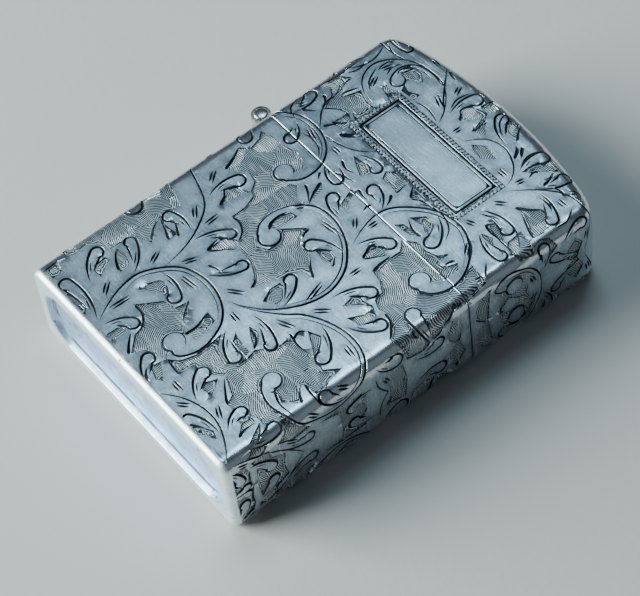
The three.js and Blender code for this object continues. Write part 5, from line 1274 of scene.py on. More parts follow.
def ringed(rings, capped=True, bm=None):
    """A skin through rings of points in mm, each ring extruded from the one before."""
    bm = bm or bmesh.new()
    order = layer_of(bm.verts, "int", "order")
    verts = bmesh.ops.create_circle(bm, cap_ends=capped, segments=len(rings[0]), radius=MM)["verts"]
    for i, vert in enumerate(verts):
        vert[order], vert.co = i, Vector(rings[0][i]) * MM
    edges = [e for e in bm.edges if e.verts[0] in set(verts) and e.verts[1] in set(verts)]
    for points in rings[1:]:
        made = bmesh.ops.extrude_edge_only(bm, edges=edges)["geom"]
        edges = [g for g in made if isinstance(g, bmesh.types.BMEdge) and g.is_boundary]
        verts = [g for g in made if isinstance(g, bmesh.types.BMVert)]
        for vert in verts:
            vert.co = Vector(points[vert[order]]) * MM
        if len(verts) == len(points):
            edges = [e for e in edges if e.verts[0] in set(verts) and e.verts[1] in set(verts)]
    if capped:
        bmesh.ops.contextual_create(bm, geom=edges)
    return bm


def curled(up):
    """A knuckle's outline: from the leaf to its bore, round the pin and back. up is 1 for the body's leaf, and
    -1 for the lid's, which lies beyond the seam."""
    outline = [
        (LEAF_IN, SEAM_Y - 1.7), (LEAF_IN, SEAM_Y - 0.95), (LEAF_IN - 0.08, SEAM_Y - 0.78),
        (LEAF_IN - 0.24, SEAM_Y - 0.71), (HINGE_X + 0.98, SEAM_Y - 0.71),
        *round_bit(HINGE_X, SEAM_Y, BORE, -46, -352, 30), *round_bit(HINGE_X, SEAM_Y, BARREL, -30, 300, 36),
        (LEAF_OUT - 0.22, SEAM_Y - BARREL), (LEAF_OUT - 0.06, SEAM_Y - BARREL - 0.07),
        (LEAF_OUT, SEAM_Y - BARREL - 0.22), (LEAF_OUT, SEAM_Y - 1.7),
    ]
    return [(x, SEAM_Y + up * (y - SEAM_Y)) for x, y in outline]


def prism(bm, outline, low, high):
    """A closed solid from an outline in x and y, between two places in z."""
    ringed([[(x, y, z) for x, y in outline] for z in (low, high)], True, bm)


def hinge_leaf(bm, up, has_bay):
    """The flat leaf, from its far edge to where the knuckles leave it. The bay is for the lid's tail."""
    far, near = SEAM_Y - up * LEAF_REACH, SEAM_Y - up * LEAF_NEAR
    cut = far + up * 0.5
    outline = [(-LEAF_HALF + 0.5, far), (LEAF_HALF - 0.5, far), (LEAF_HALF, cut), (LEAF_HALF, near)]
    if has_bay:
        outline += [(BAY_HALF, near), (BAY_HALF, BAY_Y), (-BAY_HALF, BAY_Y), (-BAY_HALF, near)]
    outline += [(-LEAF_HALF, near), (-LEAF_HALF, cut)]
    ringed([[(x, y, HALF_DEPTH + z) for z, y in outline] for x in (LEAF_OUT, LEAF_IN)], True, bm)


hinge_metal, nodes, place, shader, colour = worked_metal(
    "hinge_metal", (0.62, 0.60, 0.54), (0.42, 0.39, 0.33), 0.36, grain=(1, 1, 0.06))
dirty = nodes.tinted(colour, nodes.noise(place, 1300, 3, 0.6), 0.52, 0.66, 0.6, (0.10, 0.085, 0.06))
tuned(shader, Base_Color=dirty)

along_tail = degrees(atan2(TAIL_TIP.y - SEAM_Y, TAIL_TIP.x - HINGE_X))
tail_bar = [
    *round_bit(HINGE_X, SEAM_Y, BARREL - 0.01, along_tail - 36, -10, 2),
    *round_bit(*TAIL_TIP, 0.4, along_tail - 98, 196, 10),
    *round_bit(HINGE_X, SEAM_Y, BARREL - 0.01, along_tail + 44, -8, 2),
]
for name, body, node, up, solids in (
    ("case_leaf_and_knuckles", "case", "case_hinge_plate", 1, (
        (curled(1), -OUTER_KNUCKLE, OUTER_HALF), (curled(1), OUTER_KNUCKLE, OUTER_HALF))),
    ("lid_leaf_and_tail", "lid", "lid_hinge_plate", -1, (
        (curled(-1), 0, MIDDLE_HALF), (tail_bar, 0, MIDDLE_HALF - 0.02))),
):
    bm = bmesh.new()
    hinge_leaf(bm, up, body == "case")
    for outline, middle, half in solids:
        prism(bm, outline, HALF_DEPTH + middle - half, HALF_DEPTH + middle + half)
    eased(bm, 0.05)
    fitted(finished(bm, name, hinge_metal, 35), body, node, "hinge_metal")


def turned_piece(profile, x, y=None, segments=48):
    """A piece turned from pairs of radius and height. It stands along the length, or along z if y is given."""
    upright = y is None
    bm = bmesh.new()
    points = [(x + r, h, HALF_DEPTH) if upright else (x + r, y, HALF_DEPTH + h) for r, h in profile]
    verts = [bm.verts.new(Vector(p) * MM) for p in points]
    edges = [bm.edges.new(pair) for pair in zip(verts, verts[1:])]
    bmesh.ops.spin(bm, geom=[*verts, *edges], cent=Vector((x, y or 0, HALF_DEPTH)) * MM,
                   axis=(0, 1, 0) if upright else (0, 0, 1), angle=2 * pi, steps=segments, use_merge=True)
    bmesh.ops.remove_doubles(bm, verts=bm.verts, dist=1e-7)
    bmesh.ops.recalc_face_normals(bm, faces=bm.faces)
    return bm


def domed(radius, shank, inner, height):
    """A rivet's profile: the radius of its domed heads and of its shank, where the heads sit and how high."""
    edge = cos(radians(78))
    rise = lambda a: inner + height * (0.25 + 0.75 * (cos(radians(a)) - edge) / (1 - edge))
    dome = [(radius * sin(radians(a)), rise(a)) for a in range(0, 79, 13)]
    half = [*dome, (radius, inner + height * 0.15), (radius - 0.03, inner), (shank, inner)]
    return [*half, *((r, -h) for r, h in reversed(half))]


pin_steel = worked_metal("pin_steel", (0.66, 0.66, 0.65), (0.45, 0.44, 0.42), 0.27, grain_scale=1800)[0]
pin = turned_piece(domed(0.85, 0.55, 4.73, 0.2), HINGE_X, SEAM_Y, 40)
fitted(finished(pin, "headed_hinge_pin", pin_steel), "case", "hinge_pin", "steel")


# insert_case
# The wick unit's tube: thin steel drawn to a rounded oblong, open below, with a bay for the lid's tail on the
# hinge side. Brushed along its length and scuffed where it slides in the case.

INSERT_LEFT, INSERT_RIGHT, INSERT_LOW, INSERT_HIGH = -17.55, 17.85, -26.8, 10.9
INSERT_HALF_DEPTH, INSERT_CORNER, INSERT_WALL, TAIL_BAY = 5.375, 1.3, 0.45, 2.2


def insert_oblong():
    """The insert's outline in x and z, once round from the middle of the hinge side."""
    left, right = INSERT_LEFT + INSERT_CORNER, INSERT_RIGHT - INSERT_CORNER
    deep = INSERT_HALF_DEPTH - INSERT_CORNER
    outline = [(INSERT_LEFT, 0.0)]
    for x, z, start in ((left, -deep, 180), (right, -deep, 270), (right, deep, 0), (left, deep, 90)):
        outline += round_bit(x, z, INSERT_CORNER, start, 90, 9)
    return [*outline, (INSERT_LEFT, 0.0)]


def lengths_along(path):
    marks = [0.0]
    for a, b in zip(path, path[1:]):
        marks.append(marks[-1] + sqrt((b[0] - a[0]) ** 2 + (b[1] - a[1]) ** 2))
    return marks


def along(path, marks, s):
    """The place on a path at a length along it."""
    return float(np.interp(s, marks, [p[0] for p in path])), float(np.interp(s, marks, [p[1] for p in path]))


def bent_sheet(domain, holes, lines, place, thickness):
    """A sheet from its flat outline, holes and bend lines, laid by place and thickened away from its face."""
    points, edges = [], []
    for outline in (domain, *holes):
        first = len(points)
        points += [Vector(p) for p in outline]
        edges += [(first + i, first + (i + 1) % len(outline)) for i in range(len(outline))]
    for a, b in lines:
        points += [Vector(a), Vector(b)]
        edges.append((len(points) - 2, len(points) - 1))
    flat, _, faces, *_ = delaunay_2d_cdt(points, edges, [], 0, 1e-5)
    middles = np.array([sum((flat[i] for i in face), Vector((0, 0))) / len(face) for face in faces])
    kept = inside(middles, [Vector(p) for p in domain])
    for hole in holes:
        kept &= ~inside(middles, [Vector(p) for p in hole])
    bm = bmesh.new()
    verts = [bm.verts.new(Vector(place(*p)) * MM) for p in flat]
    for face, keep in zip(faces, kept):
        if keep:
            bm.faces.new([verts[i] for i in face])
    bmesh.ops.delete(bm, geom=[v for v in bm.verts if not v.link_faces], context="VERTS")
    bmesh.ops.remove_doubles(bm, verts=bm.verts, dist=2e-6)
    bmesh.ops.recalc_face_normals(bm, faces=bm.faces)
    bmesh.ops.solidify(bm, geom=bm.faces[:], thickness=thickness * MM)
    bmesh.ops.recalc_face_normals(bm, faces=bm.faces)
    return bm


insert_steel, nodes, place, shader, colour = worked_metal(
    "insert_steel", (0.70, 0.71, 0.72), (0.50, 0.51, 0.52), 0.31, grain=(1, 0.03, 1), marked=0.5)
smeared = nodes.tinted(colour, nodes.noise(place, 120, 3), 0.5, 0.66, 0.25, (0.36, 0.34, 0.30))
tuned(shader, Base_Color=smeared)
insert_path = insert_oblong()
insert_marks = lengths_along(insert_path)


def round_insert(s, y):
    x, z = along(insert_path, insert_marks, s)
    return x, y, HALF_DEPTH + z


girth = insert_marks[-1]
tube_sheet = [
    (0, INSERT_LOW), (girth, INSERT_LOW), (girth, BAY_Y), (girth - TAIL_BAY, BAY_Y),
    (girth - TAIL_BAY, INSERT_HIGH), (TAIL_BAY, INSERT_HIGH), (TAIL_BAY, BAY_Y), (0, BAY_Y),
]
bends = [((s, INSERT_LOW), (s, INSERT_HIGH)) for s in insert_marks[1:-1]]
tube = bent_sheet(tube_sheet, [], bends, round_insert, INSERT_WALL)
eased(tube, 0.08, 50)
fitted(finished(tube, "insert_tube", insert_steel), "case", "insert_case", "insert_steel")


# chimney
# The windscreen and its shoulder plate: one pierced strip bent round the flame and drawn in to two ears that
# hold the wheel, on a plate with a rounded edge and two small lugs for the cam. Brushed steel, sooty within.

PLATE_LOW, PLATE_TOP, CHIMNEY_TOP = 10.95, 11.5, 26.4
SCREEN_HALF, SCREEN_NECK, SCREEN_WALL = 4.7, 2.75, 0.5
NOSE_X, SHOULDER_X, NECK_X, EAR_X = -5.2, 4.6, 7.0, 12.25
WHEEL_X, WHEEL_Y, EAR = 9.3, 19.05, 2.5
WICK_X, CAM_X, CAM_Y, SLOT_HALF = -1.5, -12.4, 13.0, 0.95
LUG_HALF, LUG_RADIUS, LUG_WALL = 1.9, 1.35, 0.5
FLAME_Y = 22.5


def curve(*controls, steps=8):
    """Points on a Bezier curve through three or four control points, without its first."""
    found = []
    for i in range(1, steps + 1):
        t = i / steps
        weights = (
            ((1 - t) ** 2, 2 * t * (1 - t), t * t) if len(controls) == 3
            else ((1 - t) ** 3, 3 * t * (1 - t) ** 2, 3 * t * t * (1 - t), t ** 3)
        )
        found.append(tuple(sum(w * c[k] for w, c in zip(weights, controls)) for k in range(2)))
    return found


half_path = [
    *((NOSE_X + SCREEN_HALF * cos(radians(a)), SCREEN_HALF * sin(radians(a))) for a in range(180, 89, -6)),
    (SHOULDER_X, SCREEN_HALF),
    *curve((SHOULDER_X, SCREEN_HALF), (5.8, SCREEN_HALF), (5.8, SCREEN_NECK), (NECK_X, SCREEN_NECK)),
    (EAR_X, SCREEN_NECK),
]
screen_marks = lengths_along(half_path)


def unbent(outline):
    """An outline in x and y on the screen, laid out along its half."""
    return [(float(np.interp(x, [p[0] for p in half_path], screen_marks)), y) for x, y in outline]


def round_screen(s, y):
    x, z = along(half_path, screen_marks, abs(s))
    return x, y, HALF_DEPTH - copysign(z, s)


def ring_of(x, y, radius, steps):
    return round_bit(x, y, radius, 0, 360, steps)[:-1]


def into_one(parts):
    """One bmesh made of several, in their order."""
    whole = bmesh.new()
    for part in parts:
        mesh = bpy.data.meshes.new("part")
        part.to_mesh(mesh)
        part.free()
        whole.from_mesh(mesh)
        bpy.data.meshes.remove(mesh)
    return whole


top_edge = unbent([
    (-9.9, 24.9), (-9.6, 25.55), (-9.0, 26.05), (-8.2, 26.33), (-7.2, CHIMNEY_TOP), (3.3, CHIMNEY_TOP),
    *curve((3.3, CHIMNEY_TOP), (5.5, CHIMNEY_TOP), (5.5, 24.2)),
    *curve((5.5, 24.2), (6.1, 21.35), (8.53, 21.43)),
    *round_bit(WHEEL_X, WHEEL_Y, EAR, 108, -108)[1:], (12.2, PLATE_TOP - 0.1),
])
holes = []
for row, count in enumerate((3, 2, 3)):
    for i in range(count):
        x, y = -2.6 + (i - (count - 1) / 2) * 3.6, PLATE_TOP + 4.7 + row * 3.35
        holes.append(unbent(ring_of(x, y, 1.1, 32)))
holes.append(unbent(ring_of(WHEEL_X, WHEEL_Y, 0.8, 24)))
mirrored = lambda outline: [(-s, y) for s, y in outline]
bends = [
    ((side * s, PLATE_TOP - 0.2), (side * s, CHIMNEY_TOP)) for s in screen_marks[:-1] for side in (-1, 1)
][1:]
screen = bent_sheet(
    [*top_edge, *mirrored(reversed(top_edge[1:]))],
    [ring for hole in holes for ring in (hole, mirrored(hole))], bends, round_screen, SCREEN_WALL,
)
eased(screen, 0.07, 50)

slot_end = CAM_X + 1.65
plate_outline = [
    *insert_path[1:-1], (INSERT_LEFT, SLOT_HALF), (slot_end, SLOT_HALF), (slot_end, -SLOT_HALF),
    (INSERT_LEFT, -SLOT_HALF),
]
plate_holes = [ring_of(WICK_X, 0, 2.05, 32), ring_of(WHEEL_X, 0, 1.95, 32), ring_of(-6.6, 0, 0.55, 20)]
shoulder = bent_sheet(
    plate_outline, plate_holes, [], lambda x, z: (x, PLATE_TOP, HALF_DEPTH + z), PLATE_TOP - PLATE_LOW)
if min(v.co.y for v in shoulder.verts) > (PLATE_TOP - 0.1) * MM:
    bmesh.ops.translate(shoulder, vec=(0, (PLATE_LOW - PLATE_TOP) * MM, 0), verts=shoulder.verts)


def on_rim(edge):
    """Whether an edge runs round the top of the shoulder, clear of its holes and slot."""
    long_side = INSERT_HALF_DEPTH - 1.35
    at_rim = lambda x, y, z: y > PLATE_TOP - 0.05 and (abs(z - HALF_DEPTH) > long_side or x > 16)
    return all(at_rim(*(v.co / MM)) for v in edge.verts)


eased(shoulder, 0.3, 50, 4, on_rim)
eased(shoulder, 0.05, 50)

lug_outline = [
    (CAM_X - LUG_HALF, PLATE_TOP - 0.1), (CAM_X + LUG_HALF, PLATE_TOP - 0.1),
    *round_bit(CAM_X, CAM_Y, LUG_RADIUS, 0, 180),
]
lugs = []
for low in (HALF_DEPTH - SLOT_HALF - LUG_WALL, HALF_DEPTH + SLOT_HALF):
    lug = bent_sheet(lug_outline, [ring_of(CAM_X, CAM_Y, 0.55, 24)], [], lambda x, y: (x, y, low), LUG_WALL)
    lowest = min(v.co.z / MM for v in lug.verts)
    bmesh.ops.translate(lug, vec=(0, 0, (low - lowest) * MM), verts=lug.verts)
    eased(lug, 0.05, 50)
    lugs.append(lug)

screen_steel, nodes, place, shader, colour = worked_metal(
    "screen_steel", (0.70, 0.71, 0.72), (0.50, 0.50, 0.50), 0.30, grain=(0.03, 1, 1), marked=0.5)
off_flame = nodes.away_from(place, WICK_X - 0.5, FLAME_Y, HALF_DEPTH)
off_middle = nodes.math("ABSOLUTE", nodes.less(nodes.axes(place)[2], HALF_DEPTH * MM))
within = nodes.math("LESS_THAN", off_middle, (SCREEN_HALF - 0.3) * MM)
patchy = nodes.between(nodes.noise(place, 500, 4, 0.6), 0.3, 0.6, 0.35, 1.0)
soot = nodes.times(nodes.between(off_flame, 0.0045, 0.0095, 0.9, 0.0), patchy)
soot = nodes.times(soot, nodes.math("MULTIPLY_ADD", within, 0.8, 0.12))
warmed = nodes.mix(nodes.between(off_flame, 0.005, 0.0085, 0.4, 0.0), colour, (0.48, 0.36, 0.22))
tuned(shader, Base_Color=nodes.mix(soot, warmed, (0.012, 0.011, 0.01)))
whole = into_one([*lugs, screen, shoulder])
fitted(finished(whole, "pierced_chimney", screen_steel, 35), "case", "chimney", "insert_steel")


# wick_grommet, flint tube, pusher and screw
# The brass pieces, all turned on a lathe: the eyelet rolled over both faces of the plate round the wick, the
# flint's tube, the stepped tip that pushes the flint, and the slotted screw that loads the spring from below.

PUSHER_TOP = 10.6
TUBE_LOW, TUBE_TOP = -25.6, 14.75

turned_brass, nodes, place, shader, colour = worked_metal(
    "turned_brass", (0.74, 0.58, 0.30), (0.50, 0.36, 0.16), 0.28, grain=(1, 4, 1))
stained = nodes.tinted(colour, nodes.noise(place, 900, 3, 0.6), 0.55, 0.7, 0.5, (0.16, 0.10, 0.05))
tuned(shader, Base_Color=stained)
roll = [(2.55 - 0.3 * (1 - cos(radians(a))), 0.05 + 0.3 * sin(radians(a))) for a in range(90, -1, -15)]
eyelet = [
    *((r, PLATE_TOP + h) for r, h in (
        (1.62, -0.1), (1.62, 0.15), (1.70, 0.28), (1.84, 0.35), *roll, (1.95, 0.05))),
    *((r, PLATE_LOW - h) for r, h in (
        (1.95, 0.05), (2.5, 0.05), (2.55, 0.12), (2.5, 0.32), (1.75, 0.35), (1.62, 0.25))),
    (1.62, PLATE_TOP - 0.1),
]
flint_tube = [
    (1.36, TUBE_LOW), (1.42, TUBE_LOW), (1.79, TUBE_LOW), (1.85, TUBE_LOW + 0.06), (1.85, TUBE_TOP - 0.25),
    (1.8, TUBE_TOP - 0.13), (1.66, TUBE_TOP), (1.42, TUBE_TOP), (1.36, TUBE_TOP - 0.06), (1.36, TUBE_LOW),
]
pusher = [(r, PUSHER_TOP - h) for r, h in (
    (0, 2.4), (0.5, 2.4), (0.55, 2.35), (0.55, 1.22), (0.6, 1.2), (1.15, 1.2), (1.2, 1.15), (1.2, 0.22),
    (0.92, 0), (0, 0),
)]
for name, node, profile, x in (
    ("rolled_eyelet", "wick_grommet", eyelet, WICK_X),
    ("flint_tube_turned", "flint_tube", flint_tube, WHEEL_X),
    ("stepped_pusher", "spring_pusher", pusher, WHEEL_X),
):
    fitted(finished(turned_piece(profile, x), name, turned_brass, 40), "case", node, "brass")


def eased_copy(node, name, finish, width):
    """A piece with the node's own shape, and its sharp edges rounded."""
    bm = bmesh.new()
    bm.from_mesh(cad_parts[node].data)
    bmesh.ops.remove_doubles(bm, verts=bm.verts, dist=2e-6)
    bmesh.ops.dissolve_limit(
        bm, angle_limit=radians(1), use_dissolve_boundaries=False, verts=bm.verts, edges=bm.edges)
    eased(bm, width, 35)
    return finished(bm, name, finish, 32)


fitted(eased_copy("spring_screw", "slotted_screw", turned_brass, 0.06), "case", "spring_screw", "brass")


# flint_wheel, axle, flint and spring
# The striker: one dark hardened wheel with coarse thumb teeth at its two sides and a fine cross cut between,
# bright where it has worn, turning on a riveted axle. Below it are the grey pressed flint and its coil spring.

WHEEL, STRIKING, TOOTH, FINE_TOOTH, GROOVE, STRIKING_HALF = 3.1, 2.85, 0.3, 0.15, 0.16, 1.15
THUMB_TEETH, FINE_TEETH, STEPS_PER_TOOTH = 26, 39, 12
WHEEL_STATIONS = (
    -2.15, -2.0, -1.6, -1.25, -1.15, -0.95, -0.7, -0.45, -0.2, 0.05, 0.3, 0.55, 0.8, 1.0, 1.15, 1.25, 1.6, 2.0,
    2.15,
)
WHEEL_FACE = ((2.3, 2.15), (2.2, 2.0), (1.45, 2.0), (1.38, 2.12), (0.9, 2.12), (0.81, 2.03))
FLINT, FLINT_LENGTH, FLINT_TOP = 1.2, 5, 15.65
COIL, WIRE, COIL_TURNS, COIL_STEPS, WIRE_SIDES = 0.95, 0.18, 24, 20, 8


def tooth(turns):
    """How deep a sawtooth is at that many turns: none at its crest, all of it four fifths of the way on."""
    t = turns % 1.0
    return t / 0.8 if t < 0.8 else (1 - t) / 0.2


def wheel_radius(turn, z):
    if abs(z) > STRIKING_HALF + 0.05:
        return WHEEL - TOOTH * tooth(turn * THUMB_TEETH) - (0.08 if abs(z) > 2.1 else 0)
    if abs(z) > STRIKING_HALF - 0.05:
        return STRIKING - GROOVE
    return STRIKING - FINE_TOOTH * max(tooth(turn * FINE_TEETH + z * 0.8), tooth(turn * FINE_TEETH - z * 0.8))


turns = [i / (THUMB_TEETH * STEPS_PER_TOOTH) for i in range(THUMB_TEETH * STEPS_PER_TOOTH)]
rings = [
    *([(r, t, -z) for t in turns] for r, z in reversed(WHEEL_FACE)),
    *([(wheel_radius(t, z), t, z) for t in turns] for z in WHEEL_STATIONS),
    *([(r, t, z) for t in turns] for r, z in WHEEL_FACE),
]
wheel = ringed([
    [(WHEEL_X + r * cos(2 * pi * t), WHEEL_Y + r * sin(2 * pi * t), HALF_DEPTH + z) for r, t, z in ring]
    for ring in (*rings, rings[0])
], False)
bmesh.ops.remove_doubles(wheel, verts=wheel.verts, dist=1e-7)
bmesh.ops.recalc_face_normals(wheel, faces=wheel.faces)
wheel_steel, nodes, place, shader, colour = worked_metal(
    "wheel_steel", (0.20, 0.20, 0.215), (0.09, 0.09, 0.10), 0.36, grain_scale=1500, marked=0.25)
x, y, _ = nodes.axes(place)
radius = nodes.reach(nodes.less(x, WHEEL_X * MM), nodes.less(y, WHEEL_Y * MM))
patchy = nodes.between(nodes.noise(place, 1500), 0.35, 0.6, 0.4, 1.0)
powdered = nodes.tinted(colour, nodes.noise(place, 2200, 3, 0.6), 0.5, 0.66, 0.4, (0.30, 0.28, 0.25))
worn_crests = nodes.times(nodes.between(radius, 0.00292, 0.00308), patchy)
tuned(shader, Base_Color=nodes.mix(worn_crests, powdered, (0.62, 0.62, 0.63)))
fitted(finished(wheel, "cut_striker_wheel", wheel_steel, 25), "striker", "flint_wheel", "tool_steel")

for name, node, profile, x, y in (
    ("riveted_axle", "wheel_axle", domed(1.25, 0.75, 2.8, 0.35), WHEEL_X, WHEEL_Y),
    ("riveted_cam_pivot", "cam_rivet", domed(0.95, 0.5, 1.5, 0.3), CAM_X, CAM_Y),
):
    fitted(finished(turned_piece(profile, x, y, 40), name, pin_steel, 35), "case", node, "steel")

flint_grey, nodes, place, shader = material("flint_grey")
specks = nodes.noise(place, 3000, 4, 0.7)
tuned(
    shader, Base_Color=nodes.mix(nodes.between(specks, 0.4, 0.62), (0.13, 0.125, 0.12), (0.30, 0.29, 0.28)),
    Roughness=nodes.between(specks, 0.3, 0.7, 0.55, 0.8), Metallic=0.55,
    Normal=nodes.bump(specks, 0.5, 0.00005),
)
flint = turned_piece([(r, FLINT_TOP - h) for r, h in (
    (0, FLINT_LENGTH), (FLINT - 0.08, FLINT_LENGTH), (FLINT, FLINT_LENGTH - 0.08), (FLINT, 0.08),
    (FLINT - 0.06, 0.02), (0.8, 0.05), (0.4, 0.08), (0, 0.09),
)], WHEEL_X, segments=40)
fitted(finished(flint, "pressed_flint", flint_grey, 40), "case", "flint", "flint")

spring_low, spring_high = (corner.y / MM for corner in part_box("flint_spring"))
spring_low, spring_high = spring_low + WIRE + 0.01, spring_high - WIRE - 0.01
rings = []
for i in range(COIL_TURNS * COIL_STEPS + 1):
    angle = 2 * pi * i / COIL_STEPS
    out = Vector((cos(angle), 0, sin(angle)))
    height = spring_low + (spring_high - spring_low) * i / (COIL_TURNS * COIL_STEPS)
    centre = Vector((WHEEL_X, height, HALF_DEPTH)) + out * COIL
    sides = [2 * pi * k / WIRE_SIDES for k in range(WIRE_SIDES)]
    rings.append([centre + WIRE * (out * cos(a) + Vector((0, sin(a), 0))) for a in sides])
coil = ringed(rings)
bmesh.ops.recalc_face_normals(coil, faces=coil.faces)
spring_steel = worked_metal("spring_steel", (0.52, 0.53, 0.55), (0.32, 0.32, 0.34), 0.3, grain_scale=3200)[0]
fitted(finished(coil, "coil_spring", spring_steel, 60), "case", "flint_spring", "steel")


# cam and its spring
# A small stamped lever between the two lugs. A leaf spring riveted under the plate presses it down on the
# hinge's tail, so that the lid snaps both ways. Polished steel, with the nose bright from rubbing.

cam_steel, nodes, place, shader, colour = worked_metal(
    "cam_steel", (0.66, 0.66, 0.66), (0.42, 0.42, 0.42), 0.25, grain_scale=1700)
off_nose = nodes.away_from(place, -16.3, 6.4, HALF_DEPTH)
at_nose = nodes.between(off_nose, 0.0008, 0.002, 0.7, 0.0)
tuned(shader, Base_Color=nodes.mix(at_nose, colour, (0.85, 0.85, 0.85)))
for node, name, finish, body, slot in (
    ("cam", "stamped_cam", cam_steel, "cam", "steel"),
    ("cam_spring", "leaf_spring", spring_steel, "case", "tool_steel"),
    ("cam_spring_rivet", "leaf_spring_rivet", pin_steel, "case", "steel"),
):
    fitted(eased_copy(node, name, finish, 0.05), body, node, slot)


# wick
# A round braided cotton wick. It stands out of the eyelet with its end charred and frayed, and winds down
# through the packing. Eight strands cross eight, over and under, as raised bundles.

WICK, WICK_TOP, WICK_SIDES, LAY = 1.45, 19.1, 56, 1.9
FRAYED_FIBRES = 90
wick_route = [
    (WICK_X, WICK_TOP), (WICK_X, 15.3), (WICK_X, PLATE_TOP), (-1.5, 6.5), (-2.6, 1.5), (-5.2, -3.5),
    (-3.4, -9.0), (0.4, -13.5), (-1.6, -19.5),
]


def through(points, step):
    """Points along a smooth centripetal curve through these."""
    points = [Vector(p) for p in points]
    ends = [2 * points[0] - points[1], *points, 2 * points[-1] - points[-2]]
    found = []
    for p0, p1, p2, p3 in zip(ends, ends[1:], ends[2:], ends[3:]):
        t1 = (p1 - p0).length ** 0.5
        t2 = t1 + (p2 - p1).length ** 0.5
        t3 = t2 + (p3 - p2).length ** 0.5
        count = max(2, round((p2 - p1).length / step))
        for i in range(count):
            t = t1 + (t2 - t1) * i / count
            a1 = p0 * ((t1 - t) / t1) + p1 * (t / t1)
            a2 = p1 * ((t2 - t) / (t2 - t1)) + p2 * ((t - t1) / (t2 - t1))
            a3 = p2 * ((t3 - t) / (t3 - t2)) + p3 * ((t - t2) / (t3 - t2))
            b1 = a1 * ((t2 - t) / t2) + a2 * (t / t2)
            b2 = a2 * ((t3 - t) / (t3 - t1)) + a3 * ((t - t1) / (t3 - t1))
            found.append(b1 * ((t2 - t) / (t2 - t1)) + b2 * ((t - t1) / (t2 - t1)))
    return [*found, points[-1]]


def braid(angle, run):
    """How high the braid stands at an angle round the wick and a length along it, from 0 to 1."""
    one, other = 4 * angle + run * LAY, 4 * angle - run * LAY
    over = 0.5 + 0.5 * max(-1.0, min(1.0, 2.5 * sin(one) * sin(other)))
    return max(abs(cos(one)) ** 0.6 * (0.35 + 0.65 * over), abs(cos(other)) ** 0.6 * (1 - 0.65 * over))


route = through(wick_route, 0.17)
rings, run = [], 0.0
for i, here in enumerate(route):
    before, after = route[max(i - 1, 0)], route[min(i + 1, len(route) - 1)]
    run += (here - before).length
    way = (after - before).normalized()
    aside = Vector((way.y, -way.x))
    end = min(1.0, (run + 0.25) / 1.1) if i < 12 else 1.0
    ring = []
    for a in (2 * pi * k / WICK_SIDES for k in range(WICK_SIDES)):
        radius = (WICK - 0.24 + 0.23 * braid(a, run)) * (0.84 + 0.16 * end)
        out = radius * cos(a)
        ring.append((here.x + aside.x * out, here.y + aside.y * out, HALF_DEPTH + radius * sin(a)))
    rings.append(ring)
wick = ringed(rings)
random.seed(11)
for _ in range(FRAYED_FIBRES):
    angle, reach = random.uniform(0, 2 * pi), WICK * 0.78 * sqrt(random.random())
    x, z = reach * cos(angle), reach * sin(angle)
    foot = Vector((WICK_X + x, WICK_TOP - 0.35, HALF_DEPTH + z))
    spread = lambda: random.uniform(-0.16, 0.16)
    lean = Vector((x * 0.22 + spread(), random.uniform(0.35, 0.62), z * 0.22 + spread()))
    fibre = bmesh.ops.create_cone(
        wick, cap_ends=True, segments=4, radius1=0.08 * MM, radius2=0.02 * MM, depth=lean.length * MM)["verts"]
    leaning = Vector((0, 0, 1)).rotation_difference(lean).to_matrix().to_4x4()
    bmesh.ops.transform(wick, matrix=Matrix.Translation((foot + lean / 2) * MM) @ leaning, verts=fibre)
bmesh.ops.recalc_face_normals(wick, faces=wick.faces)
wick_cotton, nodes, place, shader = material("wick_cotton")
fibres = nodes.noise(nodes.turned(place, scale=(1, 0.25, 1)), 2600, 3, 0.6)
cotton = nodes.mix(nodes.between(fibres, 0.35, 0.65), (0.60, 0.55, 0.44), (0.83, 0.79, 0.69))
uneven = nodes.between(nodes.noise(place, 700, 3, 0.6), 0.2, 0.8, -0.0012, 0.0012)
ragged = nodes.plus(nodes.axes(place)[1], uneven)
scorched = nodes.mix(nodes.between(ragged, 0.0142, 0.0170), cotton, (0.20, 0.12, 0.06))
charred = nodes.mix(nodes.between(ragged, 0.0160, 0.0178), scorched, (0.012, 0.011, 0.01))
tuned(shader, Base_Color=charred, Roughness=0.95, Normal=nodes.bump(fibres, 0.7, 0.00008))
fitted(finished(wick, "braided_wick", wick_cotton, 50), "case", "wick", "wick")


# felt_pad and packing_ball_1 to 5
# The fuel unit's filling: five tufts of loose cotton pressed round the wick, and a pressed felt pad that
# closes the bottom, holed for the screw. The tufts are rolled and creased, the felt is matted and flat.

FELT_GRAIN, FELT_DEPTH, FELT_SCALE = 0.32, 0.22, 0.9
TUFT_GRAIN, TUFT_DEPTH, TUFT_SCALE = 0.4, 0.9, 0.35


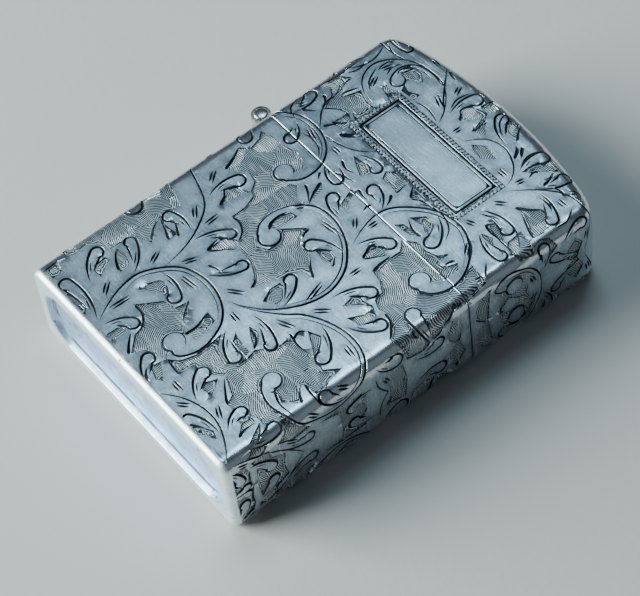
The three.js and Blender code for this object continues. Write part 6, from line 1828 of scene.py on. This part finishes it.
def fibrous(name, dark, light, scale):
    made, nodes, place, shader = material(name)
    strands = nodes.noise(place, scale, 4, 0.7, 2.5)
    colour = nodes.mix(nodes.between(strands, 0.35, 0.65), dark, light)
    colour = nodes.tinted(colour, nodes.noise(place, 260, 3, 0.6), 0.4, 0.7, 0.3, dark)
    bump = nodes.bump(strands, 0.8, 0.00012)
    tuned(shader, Base_Color=colour, Roughness=1.0, Sheen_Weight=0.4, Sheen_Roughness=0.5, Normal=bump)
    return made


def fluffed(node, name, grain, depth, scale, seed, finish):
    """A soft piece in its solid's space: its shape is meshed evenly and then creased inwards."""
    bm = bmesh.new()
    bm.from_mesh(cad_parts[node].data)
    bmesh.ops.remove_doubles(bm, verts=bm.verts, dist=2e-6)
    made = finished(bm, name, finish)
    even = made.modifiers.new("even", "REMESH")
    even.mode, even.voxel_size = "VOXEL", grain * MM
    smooth = made.modifiers.new("smooth", "SMOOTH")
    smooth.factor, smooth.iterations = 0.5, 4
    bpy.context.view_layer.update()
    mesh = bpy.data.meshes.new_from_object(made.evaluated_get(bpy.context.evaluated_depsgraph_get()))
    made.modifiers.clear()
    old, made.data = made.data, mesh
    bpy.data.meshes.remove(old)
    offset = Vector((seed * 7.3, seed * 3.1, seed * 5.7))
    normals = [v.normal.copy() for v in mesh.vertices]
    for vert, normal in zip(mesh.vertices, normals):
        at = vert.co / MM * scale + offset
        crease = 0.5 + 0.5 * noise.fractal(at, 0.9, 2.1, 4)
        fold = abs(noise.noise(at * 0.6 + Vector((9, 2, 4))))
        vert.co -= normal * depth * MM * min(1.0, max(0.0, 0.55 * crease + 0.9 * (0.35 - fold)))
    for polygon in mesh.polygons:
        polygon.use_smooth = True
    return made


felt = fibrous("pressed_felt", (0.62, 0.59, 0.52), (0.86, 0.83, 0.76), 1900)
loose_cotton = fibrous("loose_cotton", (0.72, 0.70, 0.66), (0.93, 0.92, 0.89), 1300)
pad = fluffed("felt_pad", "matted_felt_pad", FELT_GRAIN, FELT_DEPTH, FELT_SCALE, 1, felt)
fitted(pad, "case", "felt_pad", "felt")
for number in range(1, 6):
    node, name = f"packing_ball_{number}", f"cotton_tuft_{number}"
    tuft = fluffed(node, name, TUFT_GRAIN, TUFT_DEPTH, TUFT_SCALE, number + 1, loose_cotton)
    fitted(tuft, "case", node, "cotton")
